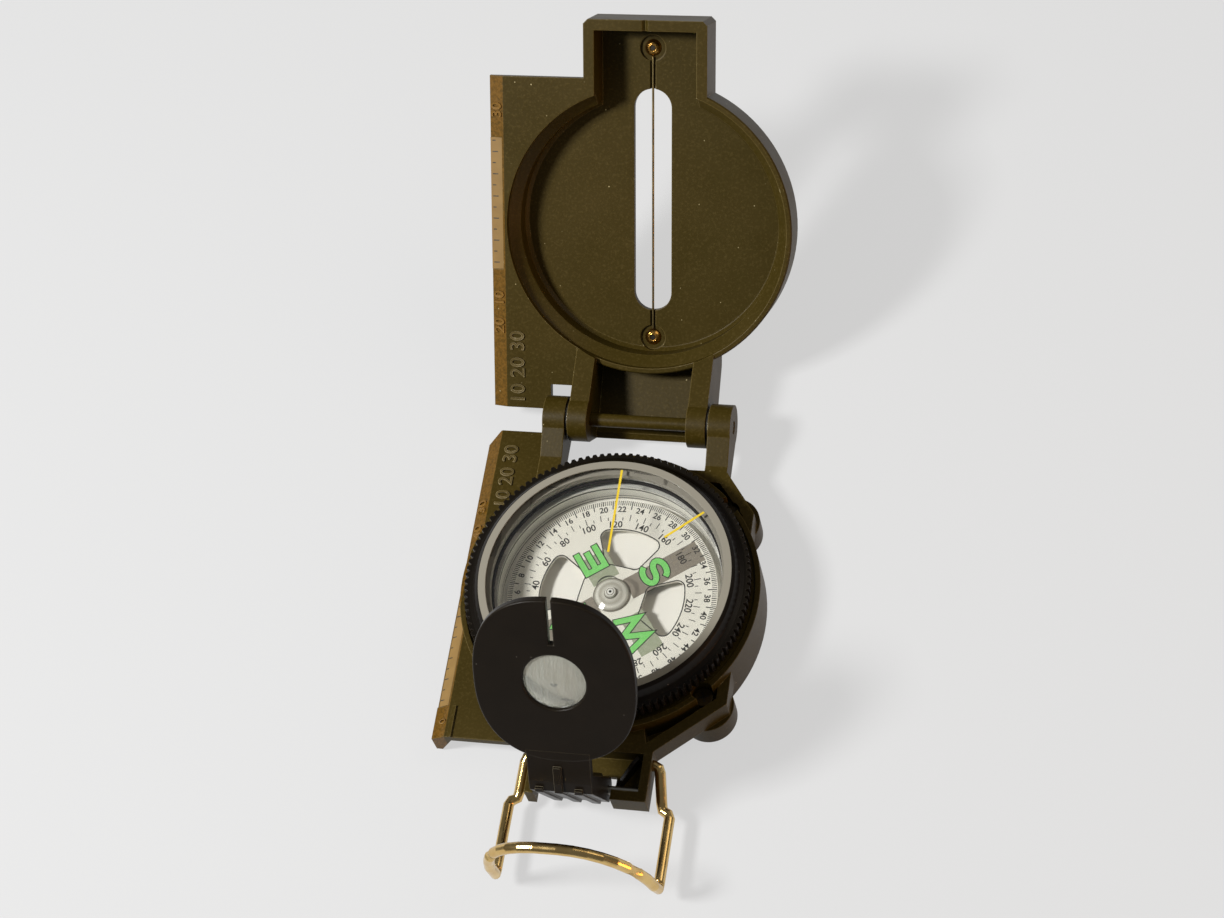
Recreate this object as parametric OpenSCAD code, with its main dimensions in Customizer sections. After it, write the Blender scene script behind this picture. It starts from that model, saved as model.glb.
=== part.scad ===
// Folding sighting compass: a cast case with a turning toothed bezel over a dial capsule,
// a hinged cover with a slotted sight, a folding lens eyepiece and a wire thumb loop.
// The origin is under the dial's centre, on the plane that the case rests on.
// +Y runs from the dial to the cover's hinge, and +Z is up.

/* [Dial] */
// Radius of the clear opening over the dial
window_r = 20.6; // [20:0.1:25]
// Thickness of the capsule's wall
capsule_wall = 1.5; // [1.1:0.1:1.8]
// Height of the capsule's underside
capsule_z = 5.4; // [5:0.1:5.8]
// Gap between the dial card's edge and the capsule's wall
card_gap = 1.1; // [0.8:0.1:1.8]
// Thickness of the dial card
card_t = 0.5; // [0.4:0.05:0.7]
// Heading angle of the card's north end, from +X
card_north = 216; // [0:1:359]

/* [Bezel] */
// Thickness of the bezel's skirt inside the tray
skirt_t = 1.34; // [1.1:0.02:1.8]
// How far the teeth stand out past the tray's bore
teeth_out = 2.0; // [1.8:0.1:2.6]
// Number of teeth round the bezel
teeth_n = 120; // [72:12:144]
// Depth of a tooth
tooth_depth = 0.6; // [0.4:0.05:0.8]
// Height of the toothed band
teeth_h = 2.8; // [2.2:0.1:3.6]
// Width of the bezel's rim round the clear opening
bezel_rim = 1.9; // [1.6:0.1:2.4]
// Height from the toothed band to the bezel's top
bezel_rise = 2.3; // [2:0.1:3]
// Thickness of the bezel's glass
glass_t = 1.2; // [0.9:0.1:1.5]

/* [Case] */
// Thickness of the tray's wall
tray_wall = 3.4; // [3:0.1:4.4]
// Height of the tray's rim above the surface it rests on
tray_h = 11.4; // [10.8:0.1:14]
// Thickness of the tray's floor
tray_floor = 1.6; // [1.2:0.1:2.4]
// How far the flange walls' top lies below the tray's rim
wall_drop = 2.0; // [1.6:0.1:2.6]
// Height of the flange walls
flange_h = 4.4; // [4:0.1:4.8]
// Thickness of the flange's walls
wall_t = 1.9; // [1.4:0.1:2.4]
// How far the flange's right side lies inside the tray's edge
flange_in = 3.4; // [2.6:0.1:4]
// How far the tail reaches past the tray
tail_reach = 11.2; // [10:0.1:14]
// Distance from the dial's centre line to the tail's right side
tail_right = 11.6; // [11:0.1:13]
// Thickness of the tail's side walls
tail_wall = 1.5; // [1.2:0.1:2]
// How far a foot's centre lies inside the flange's side
foot_in = 4.3; // [4:0.1:5]
// Radius of a foot
foot_r = 4.8; // [4:0.1:5.2]

/* [Ruler edges] */
// How far the ruler's edge stands out past the tray
ruler_out = 1.9; // [1.6:0.1:3]
// Width of the sloped ruler edge
bevel_w = 2.5; // [2:0.1:3.4]
// How far the slope falls to the case ruler's outer edge
bevel_drop = 1.9; // [1.4:0.1:2.2]
// How far the case's ruler plate lies below the tray's rim
ruler_drop = 5.0; // [4.4:0.1:5.6]
// Thickness of the ruler plates
ruler_t = 1.5; // [1.1:0.1:1.9]
// Height of the ruler's lip above the map
lip_z = 0.6; // [0.3:0.1:1.4]
// Length of the tan scale strips
strip_len = 23.8; // [18:0.1:28]

/* [Hinge] */
// Distance from the tray's edge to the hinge pin
hinge_reach = 7.8; // [7.2:0.1:9]
// How far the hinge pin lies below the tray's rim
hinge_drop = 2.1; // [1.8:0.1:2.4]
// Radius of the hinge barrels
barrel_r = 4.0; // [3.4:0.1:4.1]
// Radius of the hinge pin
pin_r = 1.2; // [0.9:0.1:1.6]
// Inner face of a case ear
ear_in = 13.0; // [12.6:0.1:15]
// Thickness of a case ear
ear_t = 4.0; // [3:0.1:4.8]
// Thickness of a cover arm
arm_t = 3.5; // [2.6:0.1:4.2]
// Thickness of a hinge washer
washer_t = 0.4; // [0.3:0.05:0.6]

/* [Cover] */
// How far the cover stands up from lying flat open
cover_open = 44; // [0:1:180]
// Thickness of the cover's floor
cover_floor = 1.3; // [1:0.1:1.8]
// How deep the closed cover's rim comes down over the teeth
teeth_nest = 1.0; // [0.6:0.1:1.2]
// Room left over the folded lens plate under the closed cover
cover_room = 1.6; // [1.4:0.1:3]
// How far the cover's recess clears the bezel's top
recess_gap = 0.9; // [0.6:0.1:1.2]
// Half the outer width of the cover's neck
neck_half = 11.0; // [10:0.1:13.2]
// Thickness of the neck's walls
neck_wall = 1.9; // [1.3:0.1:2.4]
// Width of the sighting slot
slot_w = 6.8; // [5:0.1:8.4]
// Distance from the cover's centre to the sighting slot's near end
slot_near = 16.0; // [14:0.1:16.4]
// Distance from the cover's centre to the sighting slot's far end
slot_far = 24.0; // [20:0.1:26]
// Diameter of the sighting wire
wire_d = 0.4; // [0.3:0.05:0.6]

/* [Eyepiece] */
// How far the lens plate stands up from lying flat
eye_open = 58; // [0:1:77]
// Distance from the eyepiece pin to the lens, along the plate
eye_reach = 28.5; // [27:0.1:30]
// Radius of the lens plate
eye_r = 15.5; // [13:0.1:16]
// Half the width across the lens plate's flat sides
eye_half = 13.3; // [11:0.1:14]
// Thickness of the lens plate
eye_t = 1.6; // [1.3:0.1:2]
// Radius of the lens
lens_r = 5.2; // [4.2:0.1:6.4]
// Half the width of the stem
stem_half = 6.3; // [5.2:0.1:6.8]
// How far the stem lies to the left of the lens
stem_shift = 1.1; // [0:0.1:1.4]
// Radius of the eyepiece's barrel
eye_barrel_r = 2.3; // [2:0.1:2.6]
// How far the eyepiece pin lies below the flange walls' top
eye_pin_depth = 1.3; // [1.1:0.1:1.6]

/* [Thumb loop] */
// Diameter of the loop's wire
loop_d = 1.9; // [1.5:0.1:2.2]
// How far the loop's pivot lies below the flange walls' top
loop_depth = 2.1; // [1.9:0.1:2.4]
// Length of the leg beside the tail
leg_near = 7.2; // [6:0.1:10]
// Length of the leg beyond the joggle
leg_far = 14.4; // [12:0.1:18]
// How far the legs step outward at the joggle
joggle = 1.5; // [1:0.1:2.2]
// Height of the arched crossbar above the loop's corners
arch_h = 17.2; // [12:0.1:18]

/* [Hidden] */
$fn = 96;

// Fits and small shared sizes
seat_gap = 0.02;     // pieces of one body that sit in each other
run_gap = 0.06;      // a pin or skirt that turns in its bore
side_gap = 0.05;     // flat faces that slide past each other
clear_gap = 0.3;     // moving pieces that pass each other
eps = 0.01;          // a cut's overrun past a face

// Colours
olive = "#4d4628";
black_plastic = "#221d18";
tan_strip = "#a8895a";
steel = "#b9b6ad";
brass = "#c9a04e";
clear_glass = "#c8d4cc";
card_white = "#d3d1c6";

// Radii, from the dial outward
capsule_r = window_r + 0.5;
capsule_in_r = capsule_r - capsule_wall;
card_r = capsule_in_r - card_gap;
skirt_in_r = capsule_r + clear_gap;
skirt_r = skirt_in_r + skirt_t;
tray_bore_r = skirt_r + run_gap;
bezel_top_r = window_r + bezel_rim;
teeth_r = tray_bore_r + teeth_out;
tray_r = tray_bore_r + tray_wall;
cover_r = tray_r;
recess_r = bezel_top_r + recess_gap;
mouth_r = teeth_r + 0.4;

// Case levels, from the tray's rim
shelf_z = tray_h - 0.6;
tray_lip_r = teeth_r + 0.5;
tray_chamfer = 1.2;
wall_top_z = tray_h - wall_drop;
flange_z = wall_top_z - flange_h;
flange_floor_z = flange_z + 1.0;
ruler_z = tray_h - ruler_drop;
hinge_z = tray_h - hinge_drop;
boss_top_z = wall_top_z - 2.2;
eye_pin_z = wall_top_z - eye_pin_depth;
loop_pivot_z = wall_top_z - loop_depth;

// Case outline
hinge_y = tray_r + hinge_reach;
tail_end = tray_r + tail_reach;
flange_x = tray_r - flange_in;
corner_y_hi = tray_r - 8.9;
corner_y_lo = 7.4 - tray_r;
tail_root_y = -tray_r - 2.2;
recess_front_y = -tray_r - 2.7;
recess_end_y = 1.7 - tail_end;
recess_left = stem_half + stem_shift + clear_gap;
recess_right = tail_right - tail_wall;
tail_left = recess_left + tail_wall;
foot_x = flange_x - foot_in;
foot_y = corner_y_hi + 0.1;
ear_out = ear_in + ear_t;
ear_root_y = hinge_y - 9.0;
boss_r = 2.9;
screw_r = 1.1;
head_r = 1.6;
head_gap = 0.2;
head_h = 1.1;
groove_z = tray_h - 2.8;
groove_h = 0.8;
groove_depth = 0.4;

// Ruler ends, along Y on the case and along the cover from the hinge
ruler_x = tray_r + ruler_out;
ruler_top_y = hinge_y - 1.6;
ruler_low_y = -tray_r - 1.4;
lip_w = 1.1;
end_block_len = 5.8;
end_block_t = 0.4;
cover_ruler_start = 0.4;
cover_ruler_end = hinge_y + cover_r + 0.3;
cover_bevel_drop = 0.7;
strip_t = 0.35;
strip_y = ruler_low_y + end_block_len + 0.2;
strip_v = hinge_y - 8.2;

// Bezel and dial levels
teeth_z = tray_h + 0.5;
teeth_top_z = teeth_z + teeth_h;
bezel_top_z = teeth_top_z + bezel_rise;
skirt_bottom_z = groove_z - 1.0;
glass_r = window_r + 0.8;
glass_z = bezel_top_z - 0.4 - glass_t;
capsule_top_z = teeth_z + 0.7;
lid_t = 1.0;
lid_z = capsule_top_z - lid_t;
cup_floor_t = 1.1;
cup_floor_z = capsule_z + cup_floor_t;
card_z = lid_z - 2.8;
hub_r = 3.2;
window_out = card_r - 5.8;
window_in = window_out - 6.7;
window_half = 27;
magnet_len = 2 * (card_r - 5);
magnet_w = 4.2;
magnet_t = 0.9;

// Eyepiece, measured from its pin with the lens plate lying flat
eye_pin_y = 2.0 - tail_end;
eye_pin_r = 0.8;
eye_rise = bezel_top_z + clear_gap + eye_t / 2 - eye_pin_z;
crank_run = -eye_pin_y - tray_r - 0.6;
rib_rise = 0.5;
rib_w = 1.3;
rib_pitch = 3.3;
sight_slot_w = 1.2;
lens_curve_r = 17;

// Hinge and cover levels, measured from the hinge pin with the cover lying flat open
arm_out = ear_in - washer_t - 2 * side_gap;
arm_in = arm_out - arm_t;
rim_w = hinge_z - teeth_top_z + teeth_nest;
floor_w = hinge_z - bezel_top_z - clear_gap - eye_t - cover_room;
back_w = floor_w - cover_floor;
mouth_depth = teeth_nest + 0.3;
cone_depth = 3.0;
neck_end = hinge_y + tail_end - 0.6;
slot_start = hinge_y - slot_near;
slot_end = hinge_y + slot_far;
rivet_near = slot_start - 5.0;
rivet_far = neck_end - 5.6;
rivet_r = 0.9;
rivet_pit_r = 2.3;
rivet_pit_depth = 0.5;

// Thumb loop
loop_r = loop_d / 2;
loop_pivot_y = tail_end - 7.3;
leg_drop_near = 24;
leg_drop_far = -1.5;
leg_splay = 0.7;
arch_left = 0.72;
arch_right = 1.0;

// A solid made by carrying a shape drawn in Y and Z along X
module along_x(from_x, to_x) {
    translate([from_x, 0, 0])
        rotate([90, 0, 90])
            linear_extrude(to_x - from_x) children();
}

// Places a child at each foot or screw position on the four corners
module at_corners() {
    for (sx = [-1, 1], sy = [-1, 1])
        translate([sx * foot_x, sy * foot_y, 0]) children();
}

// Outline of the flange's right half and of the tail, which holds the stem left of its middle
module flange_outline() {
    polygon([
        [0, ear_root_y], [ear_out, ear_root_y], [flange_x, corner_y_hi], [flange_x, corner_y_lo],
        [tail_right, tail_root_y], [tail_right, -tail_end], [-tail_left, -tail_end],
        [-tail_left, tail_root_y], [-18, corner_y_lo], [0, 0]
    ]);
}

// Pocket inside the flange's right corners, a wall's thickness in from the outline
module flange_pocket() {
    in_x = flange_x - wall_t;
    polygon([
        [ear_in - 2, ear_root_y - wall_t], [ear_out - 1, ear_root_y - wall_t - 0.3],
        [in_x, corner_y_hi - 0.7], [in_x, corner_y_lo + 0.8], [tail_right - 1.4, tail_root_y + 1.4],
        [8, corner_y_lo], [8, corner_y_hi]
    ]);
}

module ear_side() {
    difference() {
        union() {
            translate([hinge_y, hinge_z]) circle(barrel_r);
            polygon([
                [ear_root_y - 3, flange_z], [ear_root_y - 3, wall_top_z], [ear_root_y + 1, wall_top_z],
                [hinge_y - 3.0, hinge_z + 2.4], [hinge_y, hinge_z],
                [hinge_y - 1.0, hinge_z - barrel_r + 0.2], [ear_root_y + 2, flange_z]
            ]);
        }
        translate([hinge_y, hinge_z]) circle(pin_r + seat_gap, $fn = 48);
    }
}

module tray_solid() {
    rotate_extrude($fn = 180)
        polygon([
            [0, 0], [tray_r - tray_chamfer, 0], [tray_r, tray_chamfer], [tray_r, tray_h],
            [0, tray_h]
        ]);
}

// Everything that the turning bezel and the capsule need cut out of the tray
module tray_hollow() {
    rotate_extrude($fn = 180)
        polygon([
            [0, tray_floor], [tray_bore_r, tray_floor], [tray_bore_r, groove_z],
            [tray_bore_r + groove_depth, groove_z], [tray_bore_r + groove_depth, groove_z + groove_h],
            [tray_bore_r, groove_z + groove_h], [tray_bore_r, shelf_z], [tray_lip_r, shelf_z],
            [tray_lip_r, tray_h + 1], [0, tray_h + 1]
        ]);
}

// The ruler plate of the case, with its sloped edge, the lip that reaches down to the map,
// its cut corner and the raised block at its low end
module case_ruler() {
    difference() {
        translate([0, ruler_top_y, 0])
            rotate([90, 0, 0])
                linear_extrude(ruler_top_y - ruler_low_y)
                    polygon([
                        [-10, ruler_z - ruler_t], [-10, ruler_z], [bevel_w - ruler_x, ruler_z],
                        [-ruler_x, ruler_z - bevel_drop], [-ruler_x, lip_z], [lip_w - ruler_x, lip_z],
                        [bevel_w + 1 - ruler_x, ruler_z - ruler_t]
                    ]);
        translate([-ruler_x, ruler_top_y, 0])
            rotate([0, 0, 45])
                cube([3.1, 3.1, 40], center = true);
        translate([-ear_in, ear_root_y + 1, 0])
            cube([ear_in, hinge_reach + 2, 20]);
    }
    translate([0, ruler_low_y + end_block_len, 0])
        rotate([90, 0, 0])
            linear_extrude(end_block_len)
                polygon([
                    [-ruler_x, ruler_z - bevel_drop - 0.5], [-ruler_x, ruler_z - bevel_drop + end_block_t],
                    [bevel_w + 1.3 - ruler_x, ruler_z + end_block_t], [bevel_w + 1.3 - ruler_x, ruler_z - 0.5]
                ]);
}

// The flat slot in the case's sloped edge that the scale strip lies in
module strip_pocket_case() {
    slope = atan(bevel_drop / bevel_w);
    translate([-ruler_x, strip_y, ruler_z - bevel_drop])
        rotate([0, -slope, 0])
            translate([0.25, 0, -strip_t])
                cube([bevel_w / cos(slope) - 0.7, strip_len, strip_t + 0.4]);
}

module base_case() {
    color(olive)
        difference() {
            union() {
                tray_solid();
                translate([0, 0, flange_z])
                    linear_extrude(wall_top_z - flange_z) flange_outline();
                case_ruler();
                for (s = [-1, 1]) {
                    along_x(s < 0 ? -ear_out : ear_in, s < 0 ? -ear_in : ear_out) ear_side();
                    translate([s * (ear_in + ear_t / 2), ear_root_y - 3, flange_z])
                        cylinder(h = flange_h, r = ear_t / 2, $fn = 48);
                }
                at_corners() cylinder(h = flange_z + eps, r = foot_r, $fn = 64);
            }
            tray_hollow();
            strip_pocket_case();
            translate([0, 0, flange_floor_z])
                difference() {
                    linear_extrude(10) flange_pocket();
                    cylinder(h = 30, r = tray_r, center = true, $fn = 180);
                    at_corners() cylinder(h = boss_top_z - flange_floor_z, r = boss_r, $fn = 48);
                }
            translate([-recess_left, recess_end_y, flange_floor_z])
                cube([recess_left + recess_right, recess_front_y - recess_end_y, 10]);
            translate([-recess_left, -tail_end - 1, flange_z - 1])
                cube([2 * (stem_half + clear_gap), 3 + eye_barrel_r + rib_rise + 0.4, 10]);
            at_corners() {
                translate([0, 0, flange_z - 1.8])
                    cylinder(h = 20, r = screw_r, $fn = 32);
                translate([0, 0, boss_top_z])
                    cylinder(h = 20, r = head_r + head_gap, $fn = 48);
            }
            eyepiece_pin_rod(seat_gap, eps);
            translate([-tail_left - 1, -loop_pivot_y, loop_pivot_z])
                rotate([0, 90, 0])
                    cylinder(h = tail_left + tail_right + 2, r = loop_r + run_gap, $fn = 48);
        }
}

module case_screws() {
    color(steel)
        at_corners()
            translate([0, 0, boss_top_z]) {
                cylinder(h = head_h, r = head_r, $fn = 48);
                translate([0, 0, -3.4])
                    cylinder(h = 3.5, r = screw_r - seat_gap, $fn = 32);
            }
}

module base_scale_strip() {
    slope = atan(bevel_drop / bevel_w);
    color(tan_strip)
        translate([-ruler_x, strip_y + seat_gap, ruler_z - bevel_drop])
            rotate([0, -slope, 0])
                translate([0.25 + seat_gap, 0, -strip_t])
                    cube([bevel_w / cos(slope) - 0.7 - 2 * seat_gap, strip_len - 2 * seat_gap, strip_t]);
}

module hinge_pin() {
    color(steel)
        translate([0, hinge_y, hinge_z])
            rotate([0, 90, 0])
                cylinder(h = 2 * ear_out - 0.3, r = pin_r, center = true, $fn = 48);
}

module hinge_washers() {
    color(steel)
        for (s = [-1, 1])
            translate([s * (ear_in - side_gap - washer_t / 2), hinge_y, hinge_z])
                rotate([0, 90, 0])
                    difference() {
                        cylinder(h = washer_t, r = barrel_r - 0.5, center = true, $fn = 64);
                        cylinder(h = 2, r = pin_r + seat_gap, center = true, $fn = 48);
                    }
}

module capsule_cushion() {
    color(black_plastic)
        rotate_extrude()
            polygon([
                [12, tray_floor], [capsule_r - 0.3, tray_floor], [capsule_r - 0.3, capsule_z], [12, capsule_z]
            ]);
}

module capsule_cup() {
    color(card_white)
        rotate_extrude($fn = 144)
            polygon([
                [1.5, capsule_z], [capsule_r, capsule_z], [capsule_r, capsule_top_z],
                [capsule_r - 0.6, capsule_top_z], [capsule_r - 0.6, lid_z], [capsule_in_r, lid_z],
                [capsule_in_r, cup_floor_z + 0.8], [capsule_in_r - 0.8, cup_floor_z], [1.5, cup_floor_z]
            ]);
}

module capsule_lid() {
    color(clear_glass, 0.4)
        translate([0, 0, lid_z])
            difference() {
                cylinder(h = lid_t, r = capsule_r - 0.6 - seat_gap, $fn = 144);
                translate([0, 0, -0.5]) cylinder(h = 1, r = 2.2, $fn = 48);
            }
}

module capsule_seal() {
    color(black_plastic)
        rotate_extrude()
            translate([capsule_r - 0.6 - 0.35, capsule_top_z + 0.35])
                circle(0.33, $fn = 24);
}

module pivot_post() {
    color(brass)
        rotate_extrude($fn = 64)
            polygon([
                [0, capsule_z - 0.8], [3, capsule_z - 0.8], [3, capsule_z], [1.5 - seat_gap, capsule_z],
                [1.5 - seat_gap, cup_floor_z], [1.1, cup_floor_z + 0.4], [0.5, card_z - 0.4], [0, card_z + 0.5]
            ]);
}

module bezel_retainer() {
    gap_angle = 24;
    ring_in = skirt_r - groove_depth + 0.15;
    ring_out = tray_bore_r + groove_depth - 0.05;
    color(steel)
        difference() {
            translate([0, 0, groove_z + 0.1])
                difference() {
                    cylinder(h = groove_h - 0.2, r = ring_out, $fn = 144);
                    translate([0, 0, -1]) cylinder(h = 3, r = ring_in, $fn = 144);
                }
            linear_extrude(20)
                polygon([
                    [0, 0], [40 * cos(-90 - gap_angle / 2), 40 * sin(-90 - gap_angle / 2)],
                    [40 * cos(-90 + gap_angle / 2), 40 * sin(-90 + gap_angle / 2)]
                ]);
        }
}

module click_spring() {
    // a short leaf that rests on the tray's shelf and lifts its nose to the teeth
    color(steel)
        rotate([0, 0, 70])
            translate([-3, tray_bore_r + 0.5, shelf_z])
                rotate([90, 0, 0])
                    mirror([0, 0, 1])
                        linear_extrude(1.6)
                            polygon([[0, 0], [6, 0], [6, 0.3], [4, 0.3], [3, 0.75], [2, 0.3], [0, 0.3]]);
}

// The eyepiece's pin, which ends inside the tail's walls, or with gaps its bore
module eyepiece_pin_rod(gap, end_gap) {
    bite = tail_wall - 0.4 + end_gap;
    translate([-recess_left - bite, eye_pin_y, eye_pin_z])
        rotate([0, 90, 0])
            cylinder(h = recess_left + recess_right + 2 * bite, r = eye_pin_r + gap, $fn = 32);
}

module eyepiece_pin() {
    color(steel) eyepiece_pin_rod(0, 0);
}

module eyepiece_spring() {
    // a strip set on edge across the recess, from beside the barrel to the front wall's right end
    leaf = 0.6;
    from = [stem_half - stem_shift + 0.5, eye_pin_y + eye_pin_r + 0.3];
    to = [recess_right - 1.2, recess_front_y - 0.3];
    run = to - from;
    color(black_plastic)
        translate([from[0], from[1], flange_floor_z])
            rotate([0, 0, atan2(run[1], run[0])])
                rotate([90, 0, 0])
                    linear_extrude(leaf)
                        polygon([
                            [0, 0], [norm(run), 0], [norm(run), flange_h - 1.6], [norm(run) - 1.6, flange_h - 1.4],
                            [0, flange_h - 3.0]
                        ]);
}

// One ring of teeth as a flat outline: four points to a tooth
module teeth_outline() {
    pitch = 360 / teeth_n;
    root_r = teeth_r - tooth_depth;
    polygon([
        for (i = [0:teeth_n - 1], k = [0:3])
            let (r = k == 0 || k == 3 ? root_r : teeth_r, a = (i + [0.06, 0.3, 0.7, 0.94][k]) * pitch)
                [r * cos(a), r * sin(a)]
    ]);
}

module bezel_ring() {
    color(black_plastic)
        difference() {
            union() {
                translate([0, 0, teeth_z])
                    linear_extrude(teeth_h) teeth_outline();
                rotate_extrude($fn = 144)
                    polygon([
                        [0, skirt_bottom_z], [skirt_r, skirt_bottom_z],
                        [skirt_r, groove_z - 0.1], [skirt_r - groove_depth, groove_z - 0.1],
                        [skirt_r - groove_depth, groove_z + groove_h + 0.1],
                        [skirt_r, groove_z + groove_h + 0.1], [skirt_r, teeth_z + 0.2],
                        [teeth_r - 1, teeth_z + 0.2], [teeth_r - 1, teeth_top_z],
                        [bezel_top_r + 0.6, teeth_top_z + 0.4],
                        [bezel_top_r, bezel_top_z - 0.5], [bezel_top_r - 0.5, bezel_top_z], [0, bezel_top_z]
                    ]);
            }
            rotate_extrude($fn = 144)
                polygon([
                    [0, 0], [skirt_in_r, 0], [skirt_in_r, capsule_top_z + 0.9],
                    [window_r - 0.5, capsule_top_z + 1.5], [window_r - 0.5, glass_z],
                    [glass_r, glass_z], [glass_r, glass_z + glass_t],
                    [window_r, bezel_top_z - 0.2], [window_r, bezel_top_z + 1], [0, bezel_top_z + 1]
                ]);
        }
}

module bezel_glass() {
    color(clear_glass, 0.35)
        translate([0, 0, glass_z])
            cylinder(h = glass_t, r = glass_r - seat_gap, $fn = 144);
}

module bezel_lines() {
    color("#e0b62a")
        translate([0, 0, glass_z + glass_t]) {
            rotate([0, 0, 90])
                translate([window_r - 16.1, -0.2, 0]) cube([15.9, 0.4, 0.06]);
            rotate([0, 0, 40.5])
                translate([window_r - 8.3, -0.2, 0]) cube([8.1, 0.4, 0.06]);
        }
}

// A sector window with round corners, centred on +X
module window_outline(r_in, r_out, half, rc) {
    lean_out = asin(rc / (r_out - rc));
    lean_in = asin(rc / (r_in + rc));
    arc_n = 6;
    centres = [
        [r_out - rc, half - lean_out, 0, 90], [r_in + rc, half - lean_in, 90, 180],
        [r_in + rc, lean_in - half, 180, 270], [r_out - rc, lean_out - half, 270, 360]
    ];
    polygon([
        for (c = centres, k = [0:arc_n])
            let (a = c[1] + c[2] + (c[3] - c[2]) * k / arc_n)
                [c[0] * cos(c[1]) + rc * cos(a), c[0] * sin(c[1]) + rc * sin(a)],
        for (k = [-5:5]) let (a = (half - lean_out) * k / 5) [r_out * cos(a), r_out * sin(a)]
    ]);
}

module dial_card() {
    color(card_white)
        translate([0, 0, card_z - card_t])
            rotate([0, 0, card_north])
                linear_extrude(card_t)
                    difference() {
                        circle(card_r, $fn = 144);
                        circle(1.5, $fn = 48);
                        for (k = [0:3])
                            rotate([0, 0, 45 + 90 * k])
                                window_outline(window_in, window_out, window_half, 1.3);
                    }
}

module magnet_bar() {
    color("#8a8378")
        rotate([0, 0, card_north])
            translate([0, 0, card_z - card_t - magnet_t])
                difference() {
                    translate([-magnet_len / 2, -magnet_w / 2, 0]) cube([magnet_len, magnet_w, magnet_t]);
                    translate([0, 0, -1]) cylinder(h = 4, r = 1.5, $fn = 48);
                }
}

module jewel_cup() {
    color(clear_glass, 0.6)
        rotate_extrude($fn = 64)
            polygon([
                [0, card_z + 0.65], [0.55, card_z - 0.2], [1.0, card_z - card_t - magnet_t],
                [1.5 - seat_gap, card_z - card_t - magnet_t], [1.5 - seat_gap, card_z],
                [hub_r, card_z], [hub_r, card_z + 0.3], [hub_r - 0.9, card_z + 0.7], [1.2, card_z + 0.9],
                [0.9, card_z + 1.5], [0, card_z + 1.6]
            ]);
}

// Puts what is drawn flat open, from the hinge pin, into the cover's place
module on_cover() {
    translate([0, hinge_y, hinge_z])
        rotate([cover_open, 0, 0]) children();
}

module arm_side() {
    circle(barrel_r);
    polygon([
        [-1.2, barrel_r - 0.2], [1.4, barrel_r - 0.3], [3.0, 1.9], [12.0, rim_w], [12.6, rim_w],
        [12.6, back_w], [8, back_w], [-3, -7.2], [-4.6, -4.6], [-barrel_r, 0]
    ]);
}

module web_side() {
    polygon([
        [10, back_w], [10, floor_w - 0.1], [-1.8, -6.2], [-3.3, -4.2], [-4.6, -4.6],
        [-3, -7.2], [8, back_w]
    ]);
}

module cover_solid() {
    translate([0, hinge_y, 0])
        rotate_extrude($fn = 180)
            polygon([
                [0, back_w], [cover_r - 1.4, back_w], [cover_r - 0.5, back_w + 0.5], [cover_r, back_w + 1.4],
                [cover_r, rim_w - 0.3], [cover_r - 0.3, rim_w], [0, rim_w]
            ]);
    difference() {
        translate([-neck_half, hinge_y, back_w])
            cube([2 * neck_half, neck_end - hinge_y, rim_w - back_w]);
        for (s = [-1, 1])
            translate([s * neck_half, neck_end, back_w - 1])
                rotate([0, 0, 45])
                    cube([1.1, 1.1, 40], center = true);
    }
    translate([0, cover_ruler_end, 0])
        rotate([90, 0, 0])
            linear_extrude(cover_ruler_end - cover_ruler_start)
                polygon([
                    [-9.4, rim_w - ruler_t], [-9.4, rim_w], [bevel_w - ruler_x, rim_w],
                    [-ruler_x, rim_w - cover_bevel_drop], [-ruler_x, rim_w - ruler_t]
                ]);
    for (s = [-1, 1])
        along_x(s < 0 ? -arm_out : arm_in, s < 0 ? -arm_in : arm_out) arm_side();
    along_x(-arm_in - eps, arm_in + eps) web_side();
}

module cover_hollow() {
    translate([0, hinge_y, 0])
        rotate_extrude($fn = 180)
            polygon([
                [0, floor_w], [recess_r - 0.6, floor_w], [recess_r, floor_w + 0.6],
                [recess_r, rim_w - cone_depth], [mouth_r, rim_w - mouth_depth], [mouth_r, 10], [0, 10]
            ]);
    translate([neck_wall - neck_half, hinge_y, floor_w])
        cube([2 * (neck_half - neck_wall), neck_end - neck_wall - hinge_y, 20]);
}

// The through slot for the sighting wire, with the shallow groove and pits of its two rivets
module sight_slot() {
    for (v = [slot_start + slot_w / 2, slot_end - slot_w / 2])
        translate([0, v, back_w - 1]) cylinder(h = 6, r = slot_w / 2, $fn = 48);
    translate([-slot_w / 2, slot_start + slot_w / 2, back_w - 1])
        cube([slot_w, slot_end - slot_start - slot_w, 6]);
    for (v = [rivet_near, rivet_far])
        translate([0, v, floor_w - rivet_pit_depth]) cylinder(h = 4, r = rivet_pit_r, $fn = 48);
    translate([-0.5, rivet_near, floor_w - rivet_pit_depth])
        cube([1, rivet_far - rivet_near, 4]);
}

module cover_shell() {
    notch_out = ear_out + 0.4;
    color(olive)
        on_cover()
            difference() {
                cover_solid();
                cover_hollow();
                sight_slot();
                for (v = [rivet_near, rivet_far])
                    translate([0, v, back_w - 1]) cylinder(h = 6, r = rivet_r, $fn = 32);
                translate([-notch_out, -5, rim_w - ruler_t - 1])
                    cube([notch_out - arm_out, barrel_r + 6.0, ruler_t + 2]);
                translate([0, neck_end, rim_w])
                    rotate([0, 45, 0])
                        cube([0.8, 6, 0.8], center = true);
                strip_pocket_cover();
                rotate([0, 90, 0])
                    cylinder(h = 2 * arm_out + 2, r = pin_r + run_gap, center = true, $fn = 48);
            }
}

module strip_pocket_cover() {
    translate([-ruler_x - 0.2, strip_v, rim_w - cover_bevel_drop - 0.15])
        cube([bevel_w - 0.15, strip_len, 3]);
}

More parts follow.
